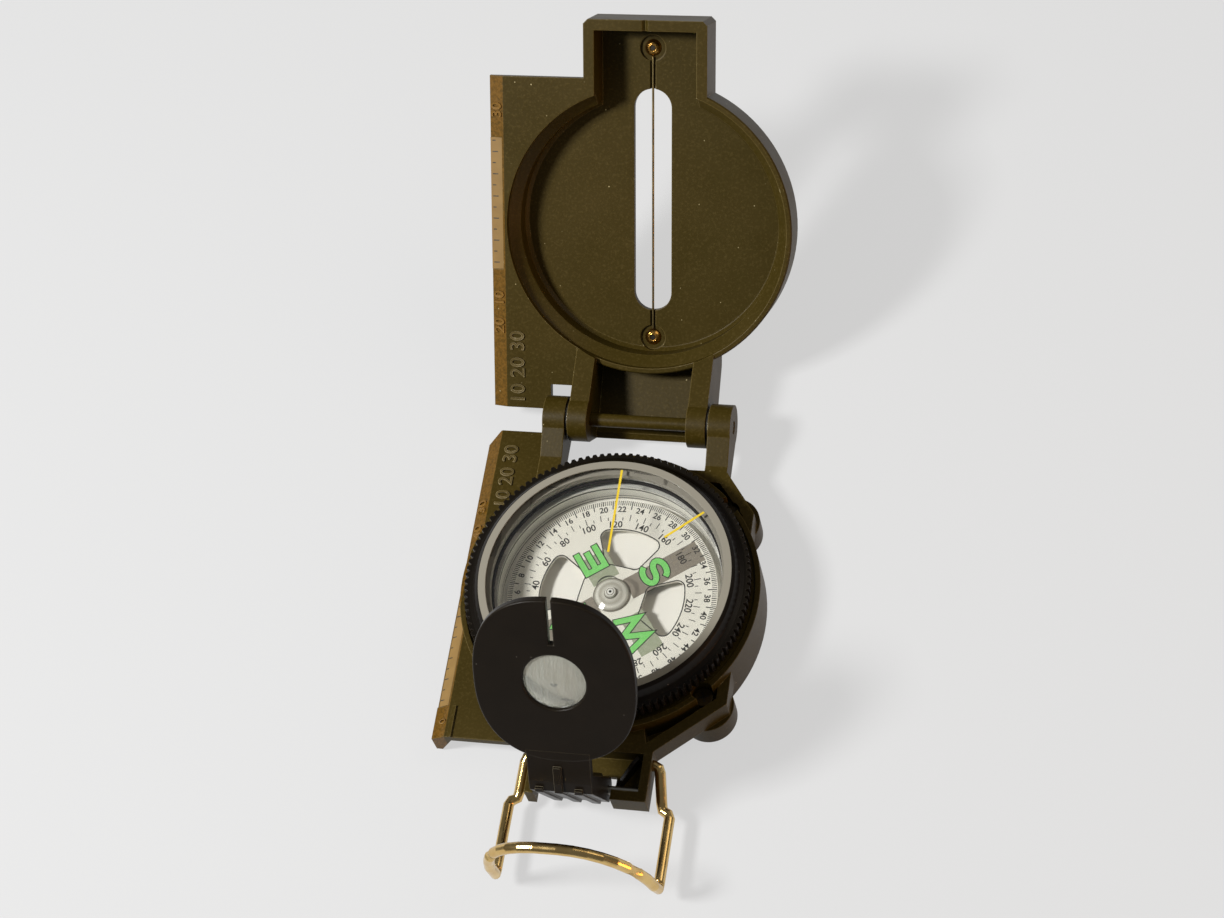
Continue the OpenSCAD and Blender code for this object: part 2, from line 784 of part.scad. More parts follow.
module cover_scale_strip() {
    color(tan_strip)
        on_cover()
            translate([-ruler_x, strip_v + seat_gap, rim_w - cover_bevel_drop - 0.15])
                cube([bevel_w - 0.4, strip_len - 2 * seat_gap, strip_t]);
}

module sighting_wire() {
    color(steel)
        on_cover()
            translate([0, rivet_near + rivet_r + 0.6, floor_w - rivet_pit_depth / 2])
                rotate([-90, 0, 0])
                    cylinder(h = rivet_far - rivet_near - 2 * rivet_r - 1.2, r = wire_d / 2, $fn = 16);
}

module wire_rivets() {
    color(brass)
        on_cover()
            for (v = [rivet_near, rivet_far])
                translate([0, v, back_w + 0.3]) {
                    cylinder(h = cover_floor - rivet_pit_depth - 0.3, r = rivet_r - seat_gap, $fn = 32);
                    translate([0, 0, cover_floor - rivet_pit_depth - 0.3])
                        cylinder(h = 0.6, r1 = rivet_r + 0.6, r2 = rivet_r, $fn = 32);
                }
}

// Puts what is drawn folded flat, from the eyepiece pin, into the eyepiece's place
module on_eyepiece() {
    translate([0, eye_pin_y, eye_pin_z])
        rotate([eye_open, 0, 0]) children();
}

// The cranked stem seen from the side, thickened by extra
module stem_side(extra) {
    half = eye_t / 2;
    circle(eye_barrel_r + extra);
    polygon([
        [-2.2, 0.6 + extra], [crank_run - 1.6, eye_rise + half + extra - 0.2],
        [crank_run + 0.4, eye_rise + half + extra], [crank_run + 5.4, eye_rise + half + extra],
        [crank_run + 5.4, eye_rise - half], [crank_run + 1.2, eye_rise - half], [1.9, -0.6]
    ]);
}

module eyepiece_frame() {
    plate_low = eye_rise - eye_t / 2;
    color(black_plastic)
        on_eyepiece()
            difference() {
                union() {
                    translate([0, 0, plate_low])
                        linear_extrude(eye_t)
                            union() {
                                intersection() {
                                    translate([0, eye_reach]) circle(eye_r, $fn = 96);
                                    translate([-eye_half, 0]) square([2 * eye_half, 60]);
                                }
                                polygon([
                                    [-stem_half - stem_shift, crank_run], [stem_half - stem_shift, crank_run],
                                    [stem_half + 2.4, eye_reach - eye_r + 2.8],
                                    [-stem_half - 2.4, eye_reach - eye_r + 2.8]
                                ]);
                            }
                    along_x(-stem_half - stem_shift, stem_half - stem_shift) stem_side(0);
                    for (k = [-1:1])
                        intersection() {
                            translate([k * rib_pitch - stem_shift, 0, 0])
                                along_x(-rib_w / 2, rib_w / 2) stem_side(rib_rise);
                            translate([-10, -8, -8]) cube([20, 8 + crank_run + (k == 0 ? 3.5 : -0.8), 30]);
                        }
                }
                translate([0, eye_reach, 0]) cylinder(h = 30, r = lens_r, $fn = 64);
                translate([-sight_slot_w / 2, eye_reach + lens_r + 2.0, plate_low - 1])
                    cube([sight_slot_w, 30, eye_t + 2]);
                translate([-stem_half - stem_shift - 1, 0, 0])
                    rotate([0, 90, 0])
                        cylinder(h = 2 * stem_half + 2, r = eye_pin_r + run_gap, $fn = 32);
            }
}

module eyepiece_lens() {
    color(clear_glass, 0.4)
        on_eyepiece()
            translate([0, eye_reach, eye_rise])
                intersection() {
                    translate([0, 0, -eye_t / 2 - 0.1])
                        cylinder(h = eye_t + 0.2, r = lens_r - seat_gap, $fn = 64);
                    translate([0, 0, -lens_curve_r + eye_t / 2 + 0.1]) sphere(lens_curve_r, $fn = 96);
                }
}

// The loop wire's centre line on one side, from inside the tail's wall to just short of the
// arch's top: wall is that side's outer face, mid the arch's middle and bow how squarely it turns
function loop_side(wall, mid, bow) =
    let (
        leg = wall + clear_gap + loop_r,
        low = leg + leg_splay,
        wide = low + joggle,
        n = leg_near * [0, -cos(leg_drop_near), -sin(leg_drop_near)],
        f = n + leg_far * [0, -cos(leg_drop_far), -sin(leg_drop_far)]
    )
    [
        [wall - tail_wall + 0.3, 0, 0], [leg - 1.0, 0, 0], [leg - 0.3, -0.3, -0.1], [leg, -1.0, -0.4],
        [low - 0.1, n[1] * 0.85, n[2] * 0.85], [low + 0.2, n[1] - 0.1, n[2]],
        [wide - 0.4, n[1] - 0.6, n[2]], [wide, n[1] - 1.4, n[2]],
        [wide, f[1] + 1.6, f[2]], [wide, f[1] + 0.5, f[2] + 0.2],
        for (k = [1:8])
            let (a = 90 * k / 9)
                [mid + (wide - mid) * pow(cos(a), bow), f[1] - 0.3 * sin(a), loop_top(f, sin(a), bow)]
    ];

function loop_top(corner, rise, bow) = corner[2] + 0.2 + arch_h * pow(rise, bow);

function unit(p) = p / norm(p);
function mirrored(p) = [-p[0], p[1], p[2]];

module thumb_loop() {
    mid = (tail_right - tail_left) / 2;
    right = loop_side(tail_right, mid, arch_right);
    left = loop_side(tail_left, -mid, arch_left);
    m = len(right);
    top = [mid, (right[m - 1] + left[m - 1])[1] / 2, right[9][2] + arch_h];
    path = [for (p = right) p, top, for (i = [m - 1:-1:0]) mirrored(left[i])];
    n = len(path);
    sides = 12;
    tangents = [for (i = [0:n - 1]) unit(path[min(i + 1, n - 1)] - path[max(i - 1, 0)])];
    rings = [
        for (i = [0:n - 1])
            let (t = tangents[i], u = unit(cross(t, abs(t[2]) > 0.9 ? [0, 1, 0] : [0, 0, 1])), v = cross(t, u))
                for (k = [0:sides - 1])
                    path[i] + loop_r * (cos(360 * k / sides) * u + sin(360 * k / sides) * v)
    ];
    skin = [
        for (i = [0:n - 2], k = [0:sides - 1])
            let (a = i * sides + k, b = i * sides + (k + 1) % sides)
                [a, b, b + sides, a + sides]
    ];
    ends = [[for (k = [sides - 1:-1:0]) k], [for (k = [0:sides - 1]) (n - 1) * sides + k]];
    color(brass)
        translate([0, -loop_pivot_y, loop_pivot_z])
            polyhedron(points = rings, faces = concat(skin, ends));
}

base_case();
case_screws();
base_scale_strip();
hinge_pin();
hinge_washers();
capsule_cushion();
capsule_cup();
capsule_lid();
capsule_seal();
pivot_post();
bezel_retainer();
click_spring();
eyepiece_pin();
eyepiece_spring();
bezel_ring();
bezel_glass();
bezel_lines();
dial_card();
magnet_bar();
jewel_cup();
cover_shell();
cover_scale_strip();
sighting_wire();
wire_rivets();
eyepiece_frame();
eyepiece_lens();
thumb_loop();
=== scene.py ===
import math

import bmesh
import bpy
from mathutils import Matrix, Vector


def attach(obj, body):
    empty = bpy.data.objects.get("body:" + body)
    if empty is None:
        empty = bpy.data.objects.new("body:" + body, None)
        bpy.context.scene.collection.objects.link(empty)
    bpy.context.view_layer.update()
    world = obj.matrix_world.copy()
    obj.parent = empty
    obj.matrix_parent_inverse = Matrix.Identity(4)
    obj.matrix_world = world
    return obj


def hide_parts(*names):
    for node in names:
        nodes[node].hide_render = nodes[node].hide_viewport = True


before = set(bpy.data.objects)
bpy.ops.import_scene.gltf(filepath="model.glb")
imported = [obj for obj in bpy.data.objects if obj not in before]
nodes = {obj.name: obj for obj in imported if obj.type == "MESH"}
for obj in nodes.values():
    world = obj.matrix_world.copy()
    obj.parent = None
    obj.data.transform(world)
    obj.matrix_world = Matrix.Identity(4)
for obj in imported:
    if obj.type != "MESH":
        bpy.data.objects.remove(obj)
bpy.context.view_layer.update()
MM = 0.001

# Table and studio
# A plain pale painted board under big soft lamps, as for a catalogue picture. The camera looks
# down on the open compass from the photograph's angle, and the board keeps the compass's shadow.
scene = bpy.context.scene
scene.view_settings.view_transform = "Standard"


def colour(hex_code):
    """Turns an sRGB hex colour into the linear colour that a socket takes."""
    parts = [int(hex_code[i : i + 2], 16) / 255 for i in (1, 3, 5)]
    return [p / 12.92 if p <= 0.04045 else ((p + 0.055) / 1.055) ** 2.4 for p in parts] + [1.0]


def new_material(name):
    """An empty node material's tree, and the material."""
    material = bpy.data.materials.new(name)
    material.use_nodes = True
    material.node_tree.nodes.clear()
    return material.node_tree, material


def add(tree, kind, inputs=None, **settings):
    """Adds one node. An input that is another node's output is linked, and any other is set."""
    node = tree.nodes.new("ShaderNode" + kind)
    for key, value in settings.items():
        setattr(node, key, value)
    for key, value in (inputs or {}).items():
        if isinstance(value, bpy.types.NodeSocket):
            tree.links.new(value, node.inputs[key])
        else:
            node.inputs[key].default_value = value
    return node


camera_data = bpy.data.cameras.new("photo_camera")
camera_data.sensor_fit = "HORIZONTAL"
camera_data.sensor_width = 36
focal_pixels = 2701.6
image_width = 1224
camera_data.lens = focal_pixels / image_width * camera_data.sensor_width
camera = bpy.data.objects.new("photo_camera", camera_data)
camera_place = Vector((98.556, -191.117, 424.136))
camera_turn = (28.7396, 9.3136, 8.7899)
camera.location = camera_place * MM
camera.rotation_euler = [math.radians(a) for a in camera_turn]
scene.collection.objects.link(camera)
scene.camera = camera

board_half = 1500 * MM
board_mesh = bpy.data.meshes.new("table_board")
board_corners = [(sx * board_half, sy * board_half, 0) for sx, sy in ((-1, -1), (1, -1), (1, 1), (-1, 1))]
board_mesh.from_pydata(board_corners, [], [(0, 1, 2, 3)])
board = bpy.data.objects.new("table_board", board_mesh)
scene.collection.objects.link(board)
# Matt white paint: an even pale tone with a faint grain, drawn at 7 mm, far coarser than a real one.
# What the camera, a mirror or a glass sees of it is evened out, so that the ground stays plain and
# still keeps the compass's shadow.
tree, board_paint = new_material("matt_white_painted_board")
grain = add(tree, "TexNoise", {"Scale": 0.4 / MM, "Detail": 2.0})
bump = add(tree, "Bump", {"Strength": 0.05, "Distance": 0.02 * MM, "Height": grain.outputs["Fac"]})
paint = add(
    tree, "BsdfPrincipled",
    {"Base Color": colour("#cfcfcf"), "Roughness": 0.8, "Normal": bump.outputs["Normal"]},
)
even = add(tree, "Emission", {"Color": colour("#e5e5e5"), "Strength": 1.0})
path = add(tree, "LightPath")
seen = add(
    tree, "Math", {0: path.outputs["Is Camera Ray"], 1: path.outputs["Is Glossy Ray"]}, operation="MAXIMUM"
)
seen_through = add(
    tree, "Math", {0: seen.outputs[0], 1: path.outputs["Is Transmission Ray"]}, operation="MAXIMUM"
)
evened = 0.75
share = add(tree, "Math", {0: seen_through.outputs[0], 1: evened}, operation="MULTIPLY")
surface = add(tree, "MixShader", {0: share.outputs[0], 1: paint.outputs["BSDF"], 2: even.outputs["Emission"]})
add(tree, "OutputMaterial", {"Surface": surface.outputs["Shader"]})
board_mesh.materials.append(board_paint)


def lamp(name, place, aim, size, power, tint="#ffffff"):
    """A square soft lamp at a place, turned to a point. Lengths are in millimetres, power in watts."""
    data = bpy.data.lights.new(name, "AREA")
    data.size = size * MM
    data.energy = power
    data.color = colour(tint)[:3]
    light = bpy.data.objects.new(name, data)
    light.location = Vector(place) * MM
    light.rotation_euler = (Vector(aim) - Vector(place)).to_track_quat("-Z", "Y").to_euler()
    scene.collection.objects.link(light)


compass_middle = (0, 10, 10)
lamp("key_lamp", (-360, -165, 520), compass_middle, 110, 5.2)
lamp("right_fill", (400, 230, 520), compass_middle, 320, 0.6, "#fff0da")
lamp("warm_side_fill", (420, -120, 25), (20, 0, 10), 120, 0.5, "#ffae5c")
world = bpy.data.worlds.new("studio_room")
world.use_nodes = True
room = world.node_tree
room.nodes.clear()
sky = add(room, "Background", {"Color": colour("#f2f4f6"), "Strength": 0.17})
add(room, "OutputWorld", {"Surface": sky.outputs["Background"]})
scene.world = world

# Base case and cover
# Two light-alloy die castings, sprayed with satin olive enamel. The spray leaves a fine orange peel,
# the edges are rubbed a little paler, and a few chips show the bare metal.


def edge_mask(tree, width_mm):
    """1 along sharp edges and 0 on flat faces, and the normal rounded over a width in millimetres."""
    rounded = add(tree, "Bevel", {"Radius": width_mm * MM}, samples=6)
    flat = add(tree, "NewGeometry")
    likeness = add(
        tree, "VectorMath", {0: rounded.outputs["Normal"], 1: flat.outputs["Normal"]}, operation="DOT_PRODUCT"
    )
    mask = add(tree, "MapRange", {"Value": likeness.outputs["Value"], "From Min": 0.98, "From Max": 0.8})
    return mask.outputs["Result"], rounded.outputs["Normal"]


slope_edge_x, slope_blend = -25.6, 0.05


def enamel(name, dark, light, rubbed, chip):
    """Satin enamel sprayed on metal, from its two tones, its rubbed edges and its chips.

    It gives the eye a low even sheen with an orange peel of half a millimetre, drawn a little coarser
    than the real one, pale lint specks, and a worn bronze primer on the ruler slopes.
    """
    tree, material = new_material(name)
    spot = add(tree, "TexCoord").outputs["Object"]
    edges, normal = edge_mask(tree, 0.28)
    clouds = add(tree, "TexNoise", {"Vector": spot, "Scale": 1 / (9 * MM), "Detail": 3.0})
    peel = add(tree, "TexNoise", {"Vector": spot, "Scale": 1 / (0.5 * MM), "Detail": 4.0, "Roughness": 0.7})
    specks = add(tree, "TexVoronoi", {"Vector": spot, "Scale": 1 / (2.2 * MM)})
    speck = add(tree, "MapRange", {"Value": specks.outputs["Distance"], "From Min": 0.07, "From Max": 0.04})
    patches = add(tree, "TexNoise", {"Vector": spot, "Scale": 1 / (2.6 * MM), "Detail": 1.0})
    rare = add(tree, "MapRange", {"Value": patches.outputs["Fac"], "From Min": 0.52, "From Max": 0.6})
    dust = add(tree, "Math", {0: speck.outputs["Result"], 1: rare.outputs["Result"]}, operation="MULTIPLY")
    tone = add(
        tree, "MixRGB", {"Fac": clouds.outputs["Fac"], "Color1": colour(dark), "Color2": colour(light)}
    )
    side = add(tree, "SeparateXYZ", {"Vector": spot})
    before_slope, on_slope_x = (slope_edge_x + slope_blend) * MM, (slope_edge_x - slope_blend) * MM
    slope = add(
        tree, "MapRange", {"Value": side.outputs["X"], "From Min": before_slope, "From Max": on_slope_x}
    )
    smudges = add(
        tree, "MapRange", {"Value": peel.outputs["Fac"], "From Min": 0.35, "From Max": 0.6, "To Min": 0.3}
    )
    primer = add(
        tree, "Math", {0: slope.outputs["Result"], 1: smudges.outputs["Result"]}, operation="MULTIPLY"
    )
    sloped = add(
        tree, "MixRGB",
        {"Fac": primer.outputs[0], "Color1": tone.outputs["Color"], "Color2": colour("#6b4a14")},
    )
    grains = add(
        tree, "MapRange", {"Value": peel.outputs["Fac"], "From Min": 0.5, "From Max": 0.8, "To Max": 0.35}
    )
    grained = add(
        tree, "MixRGB",
        {"Fac": grains.outputs["Result"], "Color1": sloped.outputs["Color"], "Color2": colour(rubbed)},
    )
    worn = add(tree, "MixRGB", {"Fac": edges, "Color1": grained.outputs["Color"], "Color2": colour(rubbed)})
    pits = add(tree, "TexNoise", {"Vector": spot, "Scale": 1 / (1.3 * MM), "Detail": 4.0, "Roughness": 0.7})
    deep = add(tree, "MapRange", {"Value": pits.outputs["Fac"], "From Min": 0.62, "From Max": 0.66})
    chips = add(tree, "Math", {0: deep.outputs["Result"], 1: edges}, operation="MULTIPLY")
    bare = add(
        tree, "MixRGB", {"Fac": chips.outputs[0], "Color1": worn.outputs["Color"], "Color2": colour(chip)}
    )
    dusty = add(
        tree, "MixRGB", {"Fac": dust.outputs[0], "Color1": bare.outputs["Color"], "Color2": colour(chip)}
    )
    gloss = add(tree, "MapRange", {"Value": clouds.outputs["Fac"], "To Min": 0.34, "To Max": 0.48})
    skin = add(
        tree, "Bump",
        {"Strength": 0.55, "Distance": 0.04 * MM, "Height": peel.outputs["Fac"], "Normal": normal},
    )
    paint = add(
        tree, "BsdfPrincipled",
        {
            "Base Color": dusty.outputs["Color"], "Roughness": gloss.outputs["Result"],
            "Specular IOR Level": 0.12, "Normal": skin.outputs["Normal"],
        },
    )
    add(tree, "OutputMaterial", {"Surface": paint.outputs["BSDF"]})
    return material


def dress(node, material):
    """Gives a CAD node its material."""
    mesh = nodes[node].data
    mesh.materials.clear()
    mesh.materials.append(material)


olive_enamel = enamel("olive_enamel_on_die_casting", "#342a08", "#3e320d", "#695931", "#a8996f")
dress("base_case", olive_enamel)
dress("cover_shell", olive_enamel)

# Raised figures
# The two castings carry plain scale figures that stand up from the ruler plates. They are cast in one
# with the plates and sprayed with them.

# Rubbed enamel: paler and drier than the plate round it, and worn down to the gold of its bronze
# primer on the slopes.
figure_enamel = enamel("rubbed_enamel_on_raised_figures", "#43371a", "#574a28", "#8b7c58", "#b9ab8c")
gold_enamel = enamel("worn_enamel_over_bronze_primer", "#5e431a", "#7a5a26", "#94713a", "#b99d6b")

case_z = 6.4
rulers_x = -28.1
slope_run = 2.5
slope_drop = 1.9
cover_slope_drop = 0.7
hinge_place = Vector((0, 34, 9.3))
cover_angle = math.radians(44)
cover_rim = -4.4
cover_edge = -5.1
on_cover = Matrix.Translation(hinge_place) @ Matrix.Rotation(cover_angle, 4, "X")
slope_angle = math.atan2(slope_drop, slope_run)
on_slope = Matrix.Translation((rulers_x, 0, case_z - slope_drop)) @ Matrix.Rotation(-slope_angle, 4, "Y")


def piece(name, mesh, body, material):
    """Links a new mesh, drawn in millimetres, as a piece of the object."""
    mesh.transform(Matrix.Scale(MM, 4))
    mesh.materials.append(material)
    made = bpy.data.objects.new(name, mesh)
    scene.collection.objects.link(made)
    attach(made, body)
    return made


def add_prism(bm, outline, low, high, place):
    """A closed prism over a flat outline, from a low to a high level, moved to its place."""
    rings = [[bm.verts.new(place @ Vector((x, y, z))) for x, y in outline] for z in (low, high)]
    bm.faces.new(rings[0][::-1])
    bm.faces.new(rings[1])
    for i in range(len(outline)):
        j = (i + 1) % len(outline)
        bm.faces.new((rings[0][i], rings[0][j], rings[1][j], rings[1][i]))


def finished(bm, name):
    """Turns a bmesh into a mesh with its faces outward."""
    bmesh.ops.recalc_face_normals(bm, faces=bm.faces)
    mesh = bpy.data.meshes.new(name)
    bm.to_mesh(mesh)
    bm.free()
    return mesh


def add_figures(bm, text, height, depth, place, bold=0.0):
    """Adds the solid shape of a few digits, centred on its place, standing up by the depth."""
    curve = bpy.data.curves.new("figures", "FONT")
    curve.body = text
    curve.align_x = "CENTER"
    curve.align_y = "CENTER"
    digit_share_of_size = 0.69
    curve.size = height / digit_share_of_size
    curve.offset = bold
    curve.extrude = depth / 2
    curve.resolution_u = 3
    shown = bpy.data.objects.new("figures", curve)
    scene.collection.objects.link(shown)
    bpy.context.view_layer.update()
    mesh = bpy.data.meshes.new_from_object(shown.evaluated_get(bpy.context.evaluated_depsgraph_get()))
    low = min(v.co.y for v in mesh.vertices)
    high = max(v.co.y for v in mesh.vertices)
    mesh.transform(place @ Matrix.Translation((0, -(low + high) / 2, depth / 2)))
    bm.from_mesh(mesh)
    bpy.data.objects.remove(shown)
    bpy.data.curves.remove(curve)
    bpy.data.meshes.remove(mesh)


quarter = Matrix.Rotation(math.radians(90), 4, "Z")
rise = 0.28
sunk = 0.02
bold = 0.05
plate_figure, cover_figure, slope_figure, end_figure = 2.5, 2.6, 1.9, 1.5
case_figures_x, cover_figures_x, down_slope = -23.3, -23.6, 1.6
bm = bmesh.new()
for text, y in (("10", 18.4), ("20", 23.0), ("30", 27.6)):
    on_plate = Matrix.Translation((case_figures_x, y, case_z - sunk))
    add_figures(bm, text, plate_figure, rise, on_plate @ quarter, bold)
piece("case_plate_figures", finished(bm, "case_plate_figures"), "root", figure_enamel)
bm = bmesh.new()
for text, y in (("50", 7.0), ("40", 12.0), ("30", 17.0)):
    lifted = Matrix.Translation((down_slope, y, -sunk))
    add_figures(bm, text, slope_figure, rise, on_slope @ lifted @ quarter, bold)
end_block = Matrix.Translation((-26.3, -24.7, 5.9)) @ Matrix.Rotation(-slope_angle, 4, "Y")
add_figures(bm, "0", end_figure, rise, end_block @ quarter)
piece("case_slope_figures", finished(bm, "case_slope_figures"), "root", gold_enamel)
bm = bmesh.new()
for text, v in (("10", 3.0), ("20", 7.9), ("30", 12.8)):
    on_plate = on_cover @ Matrix.Translation((cover_figures_x, v, cover_rim - sunk))
    add_figures(bm, text, cover_figure, rise, on_plate @ quarter, bold)
piece("cover_plate_figures", finished(bm, "cover_plate_figures"), "cover", figure_enamel)
bm = bmesh.new()
flat_turn = Matrix.Rotation(-math.atan2(cover_slope_drop, slope_run), 4, "Y")
cover_mid_slope = cover_edge + cover_slope_drop / 2
for text, v in (("20", 15.5), ("10", 20.5), ("30", 54.5)):
    lifted = Matrix.Translation((rulers_x + slope_run / 2, v, cover_mid_slope - sunk))
    add_figures(bm, text, slope_figure, rise, on_cover @ lifted @ flat_turn @ quarter, bold)
piece("cover_slope_figures", finished(bm, "cover_slope_figures"), "cover", gold_enamel)

# Scale strips
# Two strips of tan lacquered paper tape, laid in shallow slots of the ruler slopes and printed with
# dark tick marks. Handling has soiled them in soft darker patches.

# Lacquered paper: a warm tan with fibres too fine to show, so they are drawn a quarter of a millimetre
# apart, and a half-matt lacquer over them.
tree, tan_tape = new_material("tan_lacquered_paper_tape")
spot = add(tree, "TexCoord").outputs["Object"]
soil = add(tree, "TexNoise", {"Vector": spot, "Scale": 1 / (3 * MM), "Detail": 3.0})
fibre = add(tree, "TexNoise", {"Vector": spot, "Scale": 1 / (0.25 * MM), "Detail": 2.0})
tone = add(
    tree, "MixRGB", {"Fac": soil.outputs["Fac"], "Color1": colour("#785a26"), "Color2": colour("#94743b")}
)
bump = add(tree, "Bump", {"Strength": 0.2, "Distance": 0.01 * MM, "Height": fibre.outputs["Fac"]})
tape = add(
    tree, "BsdfPrincipled",
    {"Base Color": tone.outputs["Color"], "Roughness": 0.5, "Normal": bump.outputs["Normal"]},
)
add(tree, "OutputMaterial", {"Surface": tape.outputs["BSDF"]})
dress("base_scale_strip", tan_tape)
dress("cover_scale_strip", tan_tape)


def printing_ink(name, base, wear):
    """A matt layer of ink or paint from its two tones, thick and thin over half a millimetre."""
    tree, material = new_material(name)
    spot = add(tree, "TexCoord").outputs["Object"]
    density = add(tree, "TexNoise", {"Vector": spot, "Scale": 1 / (0.5 * MM), "Detail": 3.0})
    thin = add(tree, "MapRange", {"Value": density.outputs["Fac"], "From Min": 0.45, "From Max": 0.8})
    tone = add(
        tree, "MixRGB", {"Fac": thin.outputs["Result"], "Color1": colour(base), "Color2": colour(wear)}
    )
    ink = add(tree, "BsdfPrincipled", {"Base Color": tone.outputs["Color"], "Roughness": 0.55})
    add(tree, "OutputMaterial", {"Surface": ink.outputs["BSDF"]})
    return material


# Printing ink: a matt warm black, a little greyer where it is thin.
black_ink = printing_ink("black_printing_ink", "#1c1a17", "#4a463f")
tick_gap = 2.0
ink_sunk, ink_rise = 0.005, 0.012


def box(x0, y0, x1, y1):
    """A rectangle's outline."""
    return [(x0, y0), (x1, y0), (x1, y1), (x0, y1)]


def strip_ticks(name, body, place, start, end):
    """The tick marks on one scale strip, a long and a short one in turn, from its outer edge inward."""
    first, last, inset, half_width = 1.2, 0.4, 0.33, 0.09
    bm = bmesh.new()
    count = int((end - start - first - last) / tick_gap) + 1
    for i in range(count):
        y = start + first + i * tick_gap
        length = 1.0 if i % 2 == 0 else 0.6
        mark = box(inset, y - half_width, inset + length, y + half_width)
        add_prism(bm, mark, -ink_sunk, ink_rise, place)
    piece(name, finished(bm, name), body, black_ink)


case_strip_start, case_strip_end = -21.6, 2.2
cover_strip_start, cover_strip_end = 25.8, 49.6
cover_strip_drop = 0.5
cover_strip_top = Matrix.Translation((rulers_x, 0, cover_rim - cover_strip_drop))
strip_ticks("case_strip_ticks", "root", on_slope, case_strip_start, case_strip_end)
strip_ticks("cover_strip_ticks", "cover", on_cover @ cover_strip_top, cover_strip_start, cover_strip_end)

# Case screws
# Four pan-head steel screws that hold the feet and the case's lower plate. They are sprayed over
# with the case, and their cross recesses are flat dark crosses on the heads: painted shade for the hollows.
screw_enamel = enamel("olive_enamel_on_steel_screws", "#2c220f", "#392d14", "#5c4e2e", "#a0926c")
dress("case_screws", screw_enamel)
# Painted shade for hollows: a dark half-metal with a dull sheen, laid flat where the screws' cross
# recesses and the rivets' holes are in shade.
tree, hollow_painted_shade = new_material("dark_steel_hollow_painted_shade")
spot = add(tree, "TexCoord").outputs["Object"]
wear = add(tree, "TexNoise", {"Vector": spot, "Scale": 1 / (0.4 * MM), "Detail": 3.0})
tone = add(
    tree, "MixRGB", {"Fac": wear.outputs["Fac"], "Color1": colour("#17130e"), "Color2": colour("#3a3225")}
)
metal = add(tree, "BsdfPrincipled", {"Base Color": tone.outputs["Color"], "Roughness": 0.45, "Metallic": 0.6})
add(tree, "OutputMaterial", {"Surface": metal.outputs["BSDF"]})
screw_x, screw_y, screw_top = 18.5, 17.4, 8.3
recess_half, recess_half_width, recess_sunk = 0.95, 0.17, 0.005
recess_arm = box(-recess_half, -recess_half_width, recess_half, recess_half_width)
bm = bmesh.new()
for sx in (-1, 1):
    for sy in (-1, 1):
        for degrees, arm_top in ((20, 0.012), (110, 0.011)):
            turned = Matrix.Rotation(math.radians(degrees), 4, "Z")
            place = Matrix.Translation((screw_x * sx, screw_y * sy, screw_top)) @ turned
            add_prism(bm, recess_arm, -recess_sunk, arm_top, place)
piece("screw_recesses", finished(bm, "screw_recesses"), "root", hollow_painted_shade)

# Hinge pin and washers
# A ground steel rod through both ears and the cover's arms, sprayed with the case, and two thin
# bright washers that take the rubbing between ear and arm.
dress("hinge_pin", olive_enamel)


def worked_metal(name, dark, light, grain_mm, rough):
    """Bare metal as rolling, drawing or turning leaves it, from its two tones, grain and roughness.

    It gives the eye a soft mirror that clouds over here and there, with edges rounded by handling. The
    real grain is too fine to show, and it is drawn at the size given.
    """
    tree, material = new_material(name)
    spot = add(tree, "TexCoord").outputs["Object"]
    grain = add(tree, "TexNoise", {"Vector": spot, "Scale": 1 / (grain_mm * MM), "Detail": 4.0})
    clouds = add(tree, "TexNoise", {"Vector": spot, "Scale": 1 / (2.5 * MM), "Detail": 3.0})
    tone = add(
        tree, "MixRGB", {"Fac": clouds.outputs["Fac"], "Color1": colour(dark), "Color2": colour(light)}
    )
    gloss = add(
        tree, "MapRange", {"Value": clouds.outputs["Fac"], "To Min": rough * 0.7, "To Max": rough * 1.3}
    )
    rounded = add(tree, "Bevel", {"Radius": 0.45 * MM}, samples=8)
    bump = add(
        tree, "Bump",
        {
            "Strength": 0.25, "Distance": 0.01 * MM, "Height": grain.outputs["Fac"],
            "Normal": rounded.outputs["Normal"],
        },
    )
    metal = add(
        tree, "BsdfPrincipled",
        {
            "Base Color": tone.outputs["Color"], "Metallic": 1.0, "Roughness": gloss.outputs["Result"],
            "Normal": bump.outputs["Normal"],
        },
    )
    add(tree, "OutputMaterial", {"Surface": metal.outputs["BSDF"]})
    return material


# Rolled steel: a neutral grey with wide soft highlights.
satin_steel = worked_metal("satin_rolled_steel", "#8d8a82", "#c2bfb6", 0.2, 0.32)
dress("hinge_washers", satin_steel)
dress("bezel_retainer", satin_steel)
dress("click_spring", satin_steel)
dress("eyepiece_pin", satin_steel)
# Drawn steel wire, gone brown with age: only a thin soft light runs along it.
dress("sighting_wire", worked_metal("dark_drawn_steel_wire", "#6b5c3a", "#a08d5f", 0.15, 0.35))

# Dial capsule
# A shallow metal cup enamelled pale grey inside, which stands on a rubber ring and carries the pivot
# in its floor. Thin black lines run round its wall, and a clear moulded lid closes it.


def from_dial_axis(tree, spot):
    """The distance of a place from the dial's upright axis."""
    level_spot = add(tree, "VectorMath", {0: spot, 1: (1, 1, 0)}, operation="MULTIPLY")
    length = add(tree, "VectorMath", {0: level_spot.outputs["Vector"]}, operation="LENGTH")
    return length.outputs["Value"]
